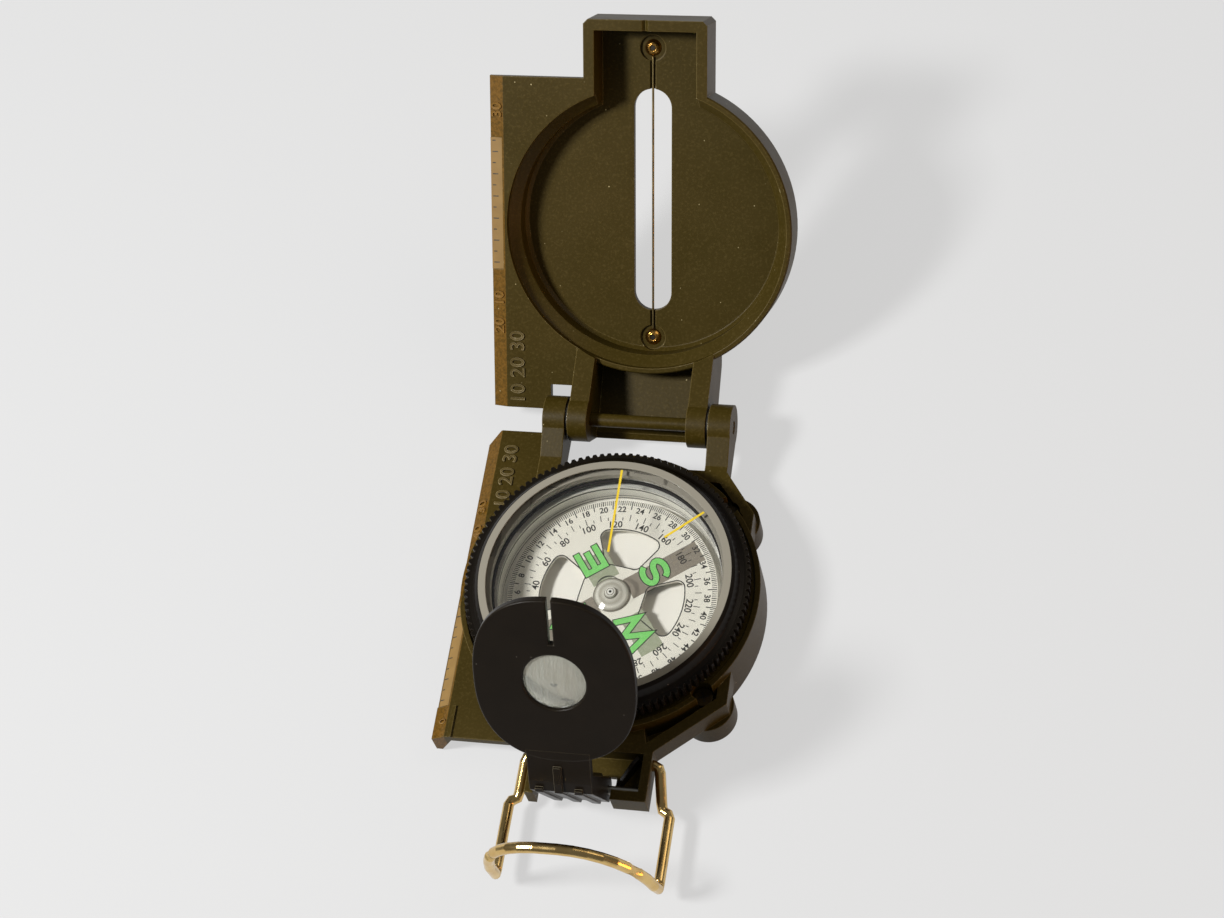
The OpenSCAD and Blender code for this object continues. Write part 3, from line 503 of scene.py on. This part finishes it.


# Stove enamel: smooth and pale with a half gloss, with black ruled lines on the wall. The floor is
# painted whiter, as painted light that lifts it out of the card's shade. Its grit is drawn at 0.3 mm,
# as the real one is too fine to show.
tree, cup_enamel = new_material("pale_grey_stove_enamel")
spot = add(tree, "TexCoord").outputs["Object"]
radius = from_dial_axis(tree, spot)
level = add(tree, "SeparateXYZ", {"Vector": spot})
clouds = add(tree, "TexNoise", {"Vector": spot, "Scale": 1 / (5 * MM), "Detail": 3.0})
grit = add(tree, "TexNoise", {"Vector": spot, "Scale": 1 / (0.3 * MM), "Detail": 2.0})
tone = add(
    tree, "MixRGB", {"Fac": clouds.outputs["Fac"], "Color1": colour("#f0eee4"), "Color2": colour("#f8f6ee")}
)
floor_top, floor_blend = 7.1, 0.2
wall_inside = 19.3
wall_lines = ((7.6, 7.85), (8.5, 8.65), (10.9, 11.3))
# Below the floor's top the enamel turns whiter: painted light against the card's shade on the floor.
floor_painted_light_mask = add(
    tree, "MapRange",
    {"Value": level.outputs["Z"], "From Min": (floor_top + floor_blend) * MM, "From Max": floor_top * MM},
)
floor_painted_light = add(
    tree, "MixRGB",
    {"Fac": floor_painted_light_mask.outputs["Result"], "Color1": tone.outputs["Color"], "Color2": colour("#fbf8f0")},
)
lined = floor_painted_light.outputs["Color"]
for low, high in wall_lines:
    above = add(tree, "Math", {0: level.outputs["Z"], 1: low * MM}, operation="GREATER_THAN")
    below = add(tree, "Math", {0: level.outputs["Z"], 1: high * MM}, operation="LESS_THAN")
    band = add(tree, "Math", {0: above.outputs[0], 1: below.outputs[0]}, operation="MULTIPLY")
    outer = add(tree, "Math", {0: radius, 1: wall_inside * MM}, operation="GREATER_THAN")
    line = add(tree, "Math", {0: band.outputs[0], 1: outer.outputs[0]}, operation="MULTIPLY")
    ruled = add(tree, "MixRGB", {"Fac": line.outputs[0], "Color1": lined, "Color2": colour("#2a2824")})
    lined = ruled.outputs["Color"]
bump = add(tree, "Bump", {"Strength": 0.15, "Distance": 0.02 * MM, "Height": grit.outputs["Fac"]})
cup_paint = add(
    tree, "BsdfPrincipled", {"Base Color": lined, "Roughness": 0.42, "Normal": bump.outputs["Normal"]}
)
add(tree, "OutputMaterial", {"Surface": cup_paint.outputs["BSDF"]})
dress("capsule_cup", cup_enamel)


def moulding(name, dark, light, rubbed, rough, grain_mm, painted_light_r_mm=0.0):
    """A moulded or blackened part, from its two tones, rubbed edges, roughness and mould grain.

    It gives the eye a deep satin black whose edges are paler, partly as wear and partly as a painted
    highlight, and a little dust. Inside the given radius, if one is given, it is painted pale grey as
    painted light. The grain is drawn coarser than the real one, too fine to show.
    """
    tree, material = new_material(name)
    spot = add(tree, "TexCoord").outputs["Object"]
    edges, normal = edge_mask(tree, 0.2)
    clouds = add(tree, "TexNoise", {"Vector": spot, "Scale": 1 / (6 * MM), "Detail": 3.0})
    grain = add(tree, "TexNoise", {"Vector": spot, "Scale": 1 / (grain_mm * MM), "Detail": 3.0})
    tone = add(
        tree, "MixRGB", {"Fac": clouds.outputs["Fac"], "Color1": colour(dark), "Color2": colour(light)}
    )
    # The edges take the paler tone: partly wear, and partly a painted highlight where edges catch the light.
    worn = add(tree, "MixRGB", {"Fac": edges, "Color1": tone.outputs["Color"], "Color2": colour(rubbed)})
    specks = add(tree, "TexVoronoi", {"Vector": spot, "Scale": 1 / (1.9 * MM)})
    speck = add(tree, "MapRange", {"Value": specks.outputs["Distance"], "From Min": 0.06, "From Max": 0.03})
    few = add(tree, "MapRange", {"Value": clouds.outputs["Fac"], "From Min": 0.55, "From Max": 0.62})
    dust = add(tree, "Math", {0: speck.outputs["Result"], 1: few.outputs["Result"]}, operation="MULTIPLY")
    dusty = add(
        tree, "MixRGB", {"Fac": dust.outputs[0], "Color1": worn.outputs["Color"], "Color2": colour("#8a847a")}
    )
    # Inside that radius the colour is pale grey: painted light on the bezel's bore, for light bounced in
    # under the glass.
    painted_light_bore = add(tree, "Math", {0: from_dial_axis(tree, spot), 1: painted_light_r_mm * MM}, operation="LESS_THAN")
    with_painted_light_bore = add(
        tree, "MixRGB",
        {"Fac": painted_light_bore.outputs[0], "Color1": dusty.outputs["Color"], "Color2": colour("#8d887b")},
    )
    gloss = add(
        tree, "MapRange", {"Value": clouds.outputs["Fac"], "To Min": rough * 0.85, "To Max": rough * 1.15}
    )
    skin = add(
        tree, "Bump",
        {"Strength": 0.3, "Distance": 0.02 * MM, "Height": grain.outputs["Fac"], "Normal": normal},
    )
    plastic = add(
        tree, "BsdfPrincipled",
        {
            "Base Color": with_painted_light_bore.outputs["Color"], "Roughness": gloss.outputs["Result"],
            "Specular IOR Level": 0.12, "Normal": skin.outputs["Normal"],
        },
    )
    add(tree, "OutputMaterial", {"Surface": plastic.outputs["BSDF"]})
    return material


# Nitrile rubber: a dull black that takes almost no light.
rubber = moulding("black_nitrile_rubber", "#171513", "#211e1b", "#2b2825", 0.6, 0.3)
dress("capsule_cushion", rubber)
dress("capsule_seal", rubber)
# Turned brass: warm yellow with soft bright highlights.
bright_brass = worked_metal("turned_brass", "#a87a35", "#d2a458", 0.25, 0.25)
dress("pivot_post", bright_brass)
glass_index = 1.5


def clear_sheet(name, tint, rough):
    """A clear pane that lets the lamps through, with a mirror gloss that grows at a flat angle.

    It gives the eye a faint mirror over what lies under it, with thin smears from wiping. Seen from
    inside the pane the index is turned over, so that no face of a flat pane turns into a full mirror.
    """
    tree, material = new_material(name)
    spot = add(tree, "TexCoord").outputs["Object"]
    smears = add(tree, "TexNoise", {"Vector": spot, "Scale": 1 / (4 * MM), "Detail": 3.0})
    gloss = add(
        tree, "MapRange", {"Value": smears.outputs["Fac"], "To Min": rough * 0.6, "To Max": rough * 1.4}
    )
    through = add(tree, "BsdfTransparent", {"Color": colour(tint)})
    shine = add(tree, "BsdfGlossy", {"Color": colour("#ffffff"), "Roughness": gloss.outputs["Result"]})
    face_side = add(tree, "NewGeometry")
    index = add(
        tree, "MapRange",
        {"Value": face_side.outputs["Backfacing"], "To Min": glass_index, "To Max": 1 / glass_index},
    )
    law = add(tree, "Fresnel", {"IOR": index.outputs["Result"]})
    pane = add(
        tree, "MixShader", {0: law.outputs["Fac"], 1: through.outputs["BSDF"], 2: shine.outputs["BSDF"]}
    )
    add(tree, "OutputMaterial", {"Surface": pane.outputs["Shader"]})
    return material


# Moulded acrylic: almost colourless, with a slightly soft mirror.
dress("capsule_lid", clear_sheet("clear_moulded_acrylic", "#fefefd", 0.03))

# Dial card
# A thin disc of white lacquered board on a jewelled hub. It is printed with two rings of ticks and
# figures, four windows are cut in it, and the letters and the north arrow are in green glow paint.
north = math.radians(216)
face = 8.8
card_edge = 18.5
# Lacquered board: a warm white with a low gloss. Its fibres are drawn at 0.3 mm to show at all.
tree, card_lacquer = new_material("white_lacquered_card")
spot = add(tree, "TexCoord").outputs["Object"]
clouds = add(tree, "TexNoise", {"Vector": spot, "Scale": 1 / (7 * MM), "Detail": 3.0})
fibre = add(tree, "TexNoise", {"Vector": spot, "Scale": 1 / (0.3 * MM), "Detail": 2.0})
tone = add(
    tree, "MixRGB", {"Fac": clouds.outputs["Fac"], "Color1": colour("#f0ecdf"), "Color2": colour("#f8f5ea")}
)
bump = add(tree, "Bump", {"Strength": 0.1, "Distance": 0.01 * MM, "Height": fibre.outputs["Fac"]})
lacquer = add(
    tree, "BsdfPrincipled",
    {"Base Color": tone.outputs["Color"], "Roughness": 0.4, "Normal": bump.outputs["Normal"]},
)
add(tree, "OutputMaterial", {"Surface": lacquer.outputs["BSDF"]})
dress("dial_card", card_lacquer)
# Sintered metal: a rough grey with hardly any highlight.
dress("magnet_bar", worked_metal("sintered_magnet", "#5d574c", "#8a8378", 0.3, 0.55))
print_turn = Matrix.Rotation(north - math.radians(90), 4, "Z")
on_face = Matrix.Translation((0, 0, face))


def radial(heading):
    """Turns a drawing that stands up along +Y to point outward at a heading on the card."""
    return on_face @ Matrix.Rotation(north - math.radians(heading) - math.radians(90), 4, "Z")


print_sunk, print_rise = 0.004, 0.012
mil_marks, degree_marks = 320, 72
mils_in_turn = 6400
edge_margin = 0.08
degree_marks_r, degree_mark_half = 14.55, 0.07
bm = bmesh.new()
for i in range(mil_marks):
    half, length = 0.065, 0.95
    if i % 5 == 0:
        half, length = 0.09, 1.0
    if i % 10 == 5:
        length = 1.75
    mark = box(-half, card_edge - length, half, card_edge - edge_margin)
    add_prism(bm, mark, -print_sunk, print_rise, radial(360 * i / mil_marks))
for i in range(degree_marks):
    length = 1.2 if i % 2 == 0 else 0.6
    mark = box(-degree_mark_half, degree_marks_r, degree_mark_half, degree_marks_r + length)
    add_prism(bm, mark, -print_sunk, print_rise, radial(360 * i / degree_marks))
piece("card_ticks", finished(bm, "card_ticks"), "card", black_ink)
mil_figures_r, mil_figure = 16.75, 1.05
degree_figures_r, degree_figure = 13.75, 1.2
print_bold = 0.03
bm = bmesh.new()
for number in range(2, 65, 2):
    place = radial(number * 100 * 360 / mils_in_turn) @ Matrix.Translation((0, mil_figures_r, 0))
    add_figures(bm, str(number), mil_figure, print_rise, place, print_bold)
for number in range(0, 360, 20):
    place = radial(number) @ Matrix.Translation((0, degree_figures_r, 0))
    add_figures(bm, str(number), degree_figure, print_rise, place, print_bold)
piece("card_figures", finished(bm, "card_figures"), "card", black_ink)


def stroke(points, width, extend=0.0):
    """The outline of a pen stroke of one width along a line of points, with mitred corners."""
    mitre_limit = 0.3
    points = [Vector(p) for p in points]
    points[0] = points[0] + (points[0] - points[1]).normalized() * extend
    points[-1] = points[-1] + (points[-1] - points[-2]).normalized() * extend
    left, right = [], []
    for i, p in enumerate(points):
        before = (p - points[i - 1]).normalized() if i else (points[1] - p).normalized()
        after = (points[i + 1] - p).normalized() if i < len(points) - 1 else before
        along = (before + after).normalized()
        side = Vector((-along.y, along.x)) * (width / 2 / max(along.dot(before), mitre_limit))
        left.append(tuple(p + side))
        right.append(tuple(p - side))
    return left + right[::-1]


def letter_strokes(width, extend):
    """The pen strokes of E, S and W and the north arrow, upright with north at the top."""
    e_spine, e_end, e_middle_end, e_half = 5.85, 10.3, 9.7, 1.75
    s_middle, s_wide, s_high = -8.5, 1.75, 1.05
    s_curve = []
    for rise_of_bow, angles in ((s_high, range(10, 271, 20)), (-s_high, range(70, -171, -20))):
        for a in angles:
            t = math.radians(a)
            s_curve.append((s_wide * math.cos(t), s_middle + rise_of_bow + s_high * math.sin(t)))
    return [
        stroke([(e_end, e_half), (e_spine, e_half), (e_spine, -e_half), (e_end, -e_half)], width, extend),
        stroke([(e_spine + width / 2, 0), (e_middle_end, 0)], width, extend),
        stroke(s_curve, width, extend),
        stroke([(-11.2, 2.1), (-9.9, -2.0), (-8.1, 1.9), (-6.2, -2.0), (-4.9, 2.1)], width, extend),
    ]


def arrow(grow):
    """The north arrow's outline, grown outward by a margin."""
    half, tail, neck, tip, wing = 1.15, 4.7, 8.4, 12.2, 2.7
    return [
        (-half - grow, tail - grow), (half + grow, tail - grow), (half + grow, neck - grow),
        (wing + 2 * grow, neck - grow), (0, tip + 2 * grow), (-wing - 2 * grow, neck - grow),
        (-half - grow, neck - grow),
    ]


outline_width = 0.17
pen = 1.02
outline_top, letter_low, letter_top = 0.03, 0.026, 0.042
letter_place = on_face @ print_turn
bm = bmesh.new()
for outline in letter_strokes(pen + 2 * outline_width, outline_width) + [arrow(outline_width)]:
    add_prism(bm, outline, print_rise, outline_top, letter_place)
window_in, window_out = 6.0, 12.7
window_half_angle = 27
window_corner = 1.3
window_line = 0.2


def window_path(grow):
    """The closed outline of a card window: a sector with round corners, grown by a margin."""
    far, near, turn_r = window_out - window_corner, window_in + window_corner, window_corner + grow
    lean_far = math.asin(window_corner / far)
    lean_near = math.asin(window_corner / near)
    half = math.radians(window_half_angle)
    corners = [
        (far, half - lean_far, 0), (near, half - lean_near, 90),
        (near, lean_near - half, 180), (far, lean_far - half, 270),
    ]
    path = []
    for r, a, start in corners:
        for k in range(7):
            t = a + math.radians(start + 90 * k / 6)
            path.append((r * math.cos(a) + turn_r * math.cos(t), r * math.sin(a) + turn_r * math.sin(t)))
    arc_r = window_out + grow
    for k in range(-5, 6):
        t = (half - lean_far) * k / 5
        path.append((arc_r * math.cos(t), arc_r * math.sin(t)))
    return path


def add_band(bm, inner, outer, low, high, place):
    """A closed flat band between two outlines of as many points."""
    rings = [
        [bm.verts.new(place @ Vector((x, y, z))) for x, y in line]
        for z, line in ((low, inner), (low, outer), (high, outer), (high, inner))
    ]
    for a in range(4):
        b = (a + 1) % 4
        for i in range(len(inner)):
            j = (i + 1) % len(inner)
            bm.faces.new((rings[a][i], rings[a][j], rings[b][j], rings[b][i]))


for k in range(4):
    place = on_face @ Matrix.Rotation(north + math.radians(45 + 90 * k), 4, "Z")
    add_band(bm, window_path(0.0), window_path(window_line), -print_sunk, print_rise, place)
piece("card_outlines", finished(bm, "card_outlines"), "card", black_ink)
# Glow paint: thick, matt and even, a milky green by day.
glow_green = printing_ink("green_glow_paint", "#7fdc70", "#95e486")
bm = bmesh.new()
for outline in letter_strokes(pen, 0) + [arrow(0)]:
    add_prism(bm, outline, letter_low, letter_top, letter_place)
piece("card_letters", finished(bm, "card_letters"), "card", glow_green)
# Flat dull tints on the white. One is painted shade: the magnet's shadow under the card, laid on as
# a grey-brown band. The other is a tinted lacquer, the ground of the glow paint.
magnet_painted_shade = printing_ink("grey_brown_magnet_painted_shade", "#8e8577", "#9a9284")
band_left, band_right = -2.6, 1.6
band_start, band_end = 3.0, 17.2
band_rise, patch_rise = 0.006, 0.008
bm = bmesh.new()
for low, high in ((-band_end, -band_start), (band_start, band_end)):
    add_prism(bm, box(band_left, low, band_right, high), -print_sunk, band_rise, letter_place)
piece("card_magnet_painted_shade", finished(bm, "card_magnet_painted_shade"), "card", magnet_painted_shade)
patch_tint = printing_ink("olive_grey_tinted_lacquer", "#a3aa8f", "#b4b8a2")
east_patch = box(3.0, -3.1, 8.6, 1.9)
west_patch = box(-13.1, -3.4, -5.2, 0.9)
bm = bmesh.new()
for patch in (east_patch, west_patch):
    add_prism(bm, patch, -print_sunk, patch_rise, letter_place)
piece("card_glow_patches", finished(bm, "card_glow_patches"), "card", patch_tint)
# Clear acrylic over the jewel: glossy, and coloured in rings from the dark jewel in the middle to
# the rim. The jewel is its own dark colour; the bright rings are painted highlights and the dark
# rings painted shade of its turned steps.
hub_r = 3.2
tree, hub_plastic = new_material("clear_moulded_hub")
spot = add(tree, "TexCoord").outputs["Object"]
outward = add(tree, "MapRange", {"Value": from_dial_axis(tree, spot), "From Max": hub_r * MM})
rings = add(tree, "ValToRGB", {"Fac": outward.outputs["Result"]})
rings.color_ramp.interpolation = "EASE"
ring_stops_with_painted_light = rings.color_ramp.elements
# Past the jewel, the bright stops are painted highlights and the dark stops painted shade of the steps.
for at, shade in (
    (0.06, "#2f2c26"), (0.1, "#f4f3ee"), (0.17, "#d9d6cb"), (0.2, "#6d685c"),
    (0.24, "#e9e7df"), (0.31, "#c4c0b4"), (0.34, "#57524a"), (0.38, "#cfccc0"),
    (0.6, "#b5b1a4"), (0.78, "#dcd9ce"), (0.92, "#a8a497"), (0.97, "#6c675c"),
):
    stop = ring_stops_with_painted_light.new(at)
    stop.color = colour(shade)
ring_stops_with_painted_light[0].color = colour("#1e1b17")
ring_stops_with_painted_light[-1].color = colour("#8b8678")
swirl = add(tree, "TexNoise", {"Vector": spot, "Scale": 1 / (1.5 * MM), "Detail": 2.0})
bump = add(tree, "Bump", {"Strength": 0.3, "Distance": 0.05 * MM, "Height": swirl.outputs["Fac"]})
hub = add(
    tree, "BsdfPrincipled",
    {"Base Color": rings.outputs["Color"], "Roughness": 0.12, "IOR": 1.49, "Normal": bump.outputs["Normal"]},
)
add(tree, "OutputMaterial", {"Surface": hub.outputs["BSDF"]})
dress("jewel_cup", hub_plastic)

# Toothed bezel
# A black moulded ring that turns in the tray on a spring wire, with a flat glass pressed in from
# below. Two yellow sighting lines are printed on the glass.

# Moulded nylon: a brown-black with a soft low sheen, paler along its edges, partly from wear and
# partly as a painted highlight on rims and rib tops. The bezel's bore is painted pale grey as painted
# light, for the light that bounces in under the glass, and the yellow ink lies flat and opaque on the
# bright glass.
black_nylon = moulding("black_moulded_nylon", "#120e09", "#1b150e", "#57503f", 0.33, 0.35)
bezel_painted_light_r = 21.9
dress("bezel_ring", moulding("black_nylon_bezel", "#0f0c08", "#17130d", "#302922", 0.3, 0.35, bezel_painted_light_r))
dress("bezel_glass", clear_sheet("polished_flat_glass", "#fefefe", 0.02))
dress("bezel_lines", printing_ink("yellow_screen_ink", "#dcbc1c", "#e8cc3c"))

# Sight rivets
# Two tubular brass rivets whose rolled heads clamp the ends of the sighting wire in round pits of
# the cover's floor. Each rolled rim stands round a small hole, drawn as a flat dark disc: painted shade for
# the hollow.
dress("wire_rivets", bright_brass)
rivet_places = (13.0, 65.2)
rivet_top = -11.1
rim_r, rim_rise, rim_sunk = 0.9, 0.12, 0.01
hole_r = 0.44


def round_outline(radius, count):
    """The points of a circle."""
    turns = [2 * math.pi * i / count for i in range(count)]
    return [(radius * math.cos(t), radius * math.sin(t)) for t in turns]


bm = bmesh.new()
for v in rivet_places:
    place = on_cover @ Matrix.Translation((0, v, rivet_top))
    add_band(bm, round_outline(rim_r / 2, 32), round_outline(rim_r, 32), -rim_sunk, rim_rise, place)
piece("rivet_rims", finished(bm, "rivet_rims"), "cover", bright_brass)
bm = bmesh.new()
for v in rivet_places:
    place = on_cover @ Matrix.Translation((0, v, rivet_top))
    add_prism(bm, round_outline(hole_r, 24), -rim_sunk, rim_sunk, place)
piece("rivet_holes", finished(bm, "rivet_holes"), "cover", hollow_painted_shade)

# Eyepiece
# One black moulding: a lens plate with a sighting slit, on a cranked and ribbed stem that turns on
# a steel pin in the tail. A small glass lens is pressed into the plate, and a blackened leaf holds it.
eyepiece_pin = Vector((0, -35.4, 8.1))
eyepiece_angle = math.radians(58)
on_eyepiece = Matrix.Translation(eyepiece_pin) @ Matrix.Rotation(eyepiece_angle, 4, "X")
plate_low, plate_high = 9.2, 10.8
lens_reach, lens_hole = 28.5, 5.2
stem_left, stem_right = -5.6, 4.9
stem_end = 15.0
barrel_r = 2.3
crank_top, crank_top_level = 7.0, 10.6


def plate_outline():
    """The lens plate's outline, a squarish oval with the sighting slit cut into its outer end."""
    half_wide, half_long, squareness = 13.3, 15.3, 2.4
    middle = lens_reach + 0.1
    slit_half, slit_start, slit_end = 0.38, lens_reach + lens_hole + 2, middle + half_long - 0.01
    slit_angle = 2.6
    steps = 120
    path = [(slit_half, slit_start), (slit_half, slit_end)]
    for i in range(steps + 1):
        a = math.radians(90 - slit_angle - (360 - 2 * slit_angle) * i / steps)
        across, along = math.cos(a), math.sin(a)
        x = math.copysign(abs(across) ** (2 / squareness), across) * half_wide
        u = math.copysign(abs(along) ** (2 / squareness), along) * half_long
        path.append((x, middle + u))
    return path + [(-slit_half, slit_end), (-slit_half, slit_start)]


def add_stem_slice(bm, left, right, rise, end):
    """A slice of the cranked stem, drawn from the side: the body where the rise is 0, or else a rib."""
    r = barrel_r + rise
    turns = [math.radians(a) for a in range(-18, -196, -12)]
    wrap = [(r * math.cos(t), r * math.sin(t)) for t in turns]
    flat_start, upper, lower, inside = 9.0, plate_high - 0.02 + rise, plate_low + 0.02, 10.0
    top = [(crank_top, crank_top_level + rise), (flat_start, upper)]
    back = [(9.8, lower)] if rise == 0 else [(8.6, inside)]
    edge = [(end, upper), (end, lower if rise == 0 else inside)]
    if end < flat_start:
        top, back = top[:1], []
    profile = wrap + top + edge + back
    sides = [[bm.verts.new(on_eyepiece @ Vector((x, u, n))) for u, n in profile] for x in (left, right)]
    bm.faces.new(sides[0])
    bm.faces.new(sides[1][::-1])
    for i in range(len(profile)):
        j = (i + 1) % len(profile)
        bm.faces.new((sides[0][i], sides[0][j], sides[1][j], sides[1][i]))


bm = bmesh.new()
rims = []
hole_outline = [(x, lens_reach + u) for x, u in round_outline(lens_hole, 64)]
for line in (plate_outline(), hole_outline):
    verts = [bm.verts.new(Vector((x, u, plate_low))) for x, u in line]
    rims += [bm.edges.new((verts[i], verts[(i + 1) % len(verts)])) for i in range(len(verts))]
bmesh.ops.triangle_fill(bm, edges=rims, use_beauty=True)
lifted = bmesh.ops.extrude_face_region(bm, geom=list(bm.faces))
raised = [v for v in lifted["geom"] if isinstance(v, bmesh.types.BMVert)]
bmesh.ops.translate(bm, vec=(0, 0, plate_high - plate_low), verts=raised)
bmesh.ops.recalc_face_normals(bm, faces=bm.faces)
# The level edges where a face folds by more than a radian to a side are rounded.
rim_round = 0.3
level_edges = [e for e in bm.edges if abs(e.verts[0].co.z - e.verts[1].co.z) < 0.01]
rim_edges = [e for e in level_edges if len(e.link_faces) == 2 and e.calc_face_angle() > 1.0]
bmesh.ops.bevel(
    bm, geom=rim_edges, offset=rim_round, segments=3, profile=0.5, affect="EDGES", clamp_overlap=True
)
bmesh.ops.transform(bm, matrix=on_eyepiece, verts=bm.verts)
add_stem_slice(bm, stem_left, stem_right, 0, stem_end)
rib_middle, rib_pitch, rib_half, rib_rise = -0.6, 3.3, 0.65, 0.5
short_rib, long_rib = 7.8, 12.1
for k, end in ((-1, short_rib), (0, long_rib), (1, short_rib)):
    middle = rib_middle + k * rib_pitch
    add_stem_slice(bm, middle - rib_half, middle + rib_half, rib_rise, end)
# This piece has the plate's truer oval and the stem's truer width, so it stands for the CAD's plain one.
eyepiece_mesh = finished(bm, "eyepiece_moulding")
eyepiece = piece("eyepiece_moulding", eyepiece_mesh, "eyepiece", black_nylon)
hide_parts("eyepiece_frame")
dress("eyepiece_frame", black_nylon)
# Blackened steel: as dark and as low in sheen as the moulding beside it.
dress("eyepiece_spring", moulding("blackened_spring_steel", "#12100d", "#1c1813", "#3a3226", 0.3, 0.3))
# Polished glass: clear and bending, with a pale film of wiping streaks that grows over its upper part
# as a painted reflection. The streaks are drawn 0.35 mm wide, coarser than real, to show at all.
tree, lens_glass = new_material("polished_lens_glass")
spot = add(tree, "TexCoord").outputs["Object"]
smears = add(tree, "TexNoise", {"Vector": spot, "Scale": 1 / (1.5 * MM), "Detail": 3.0})
gloss = add(tree, "MapRange", {"Value": smears.outputs["Fac"], "To Min": 0.0, "To Max": 0.05})
glass = add(
    tree, "BsdfPrincipled",
    {
        "Base Color": colour("#fbfcfa"), "Roughness": gloss.outputs["Result"], "IOR": 1.52,
        "Transmission Weight": 1.0,
    },
)
wiped = add(tree, "Mapping", {"Vector": spot, "Scale": (1, 0.08, 0.08)})
streaks = add(tree, "TexNoise", {"Vector": wiped.outputs["Vector"], "Scale": 1 / (0.35 * MM), "Detail": 2.0})
height = add(tree, "SeparateXYZ", {"Vector": spot})
lens_low, lens_high = 26.0, 31.0
# The pale film grows from the lens's lower to its upper part: a painted reflection over the real smears.
upper = add(
    tree, "MapRange",
    {
        "Value": height.outputs["Z"], "From Min": lens_low * MM, "From Max": lens_high * MM,
        "To Min": 0.05, "To Max": 0.42,
    },
)
film = add(
    tree, "MapRange", {"Value": streaks.outputs["Fac"], "From Min": 0.3, "From Max": 0.65, "To Min": 0.45}
)
smear_and_reflection_amount = add(tree, "Math", {0: upper.outputs["Result"], 1: film.outputs["Result"]}, operation="MULTIPLY")
smear_and_painted_reflection = add(tree, "BsdfDiffuse", {"Color": colour("#aeb0a6")})
with_smear_and_reflection = add(tree, "MixShader", {0: smear_and_reflection_amount.outputs[0], 1: glass.outputs["BSDF"], 2: smear_and_painted_reflection.outputs["BSDF"]})
add(tree, "OutputMaterial", {"Surface": with_smear_and_reflection.outputs["Shader"]})
dress("eyepiece_lens", lens_glass)

# Thumb loop
# One length of hard drawn brass wire, bent to shape and sprung into two holes of the tail. It is
# bright, with a fine grain and soft patches of amber tarnish.
dress("thumb_loop", worked_metal("drawn_brass_wire", "#c59c55", "#e9cd8f", 0.3, 0.17))
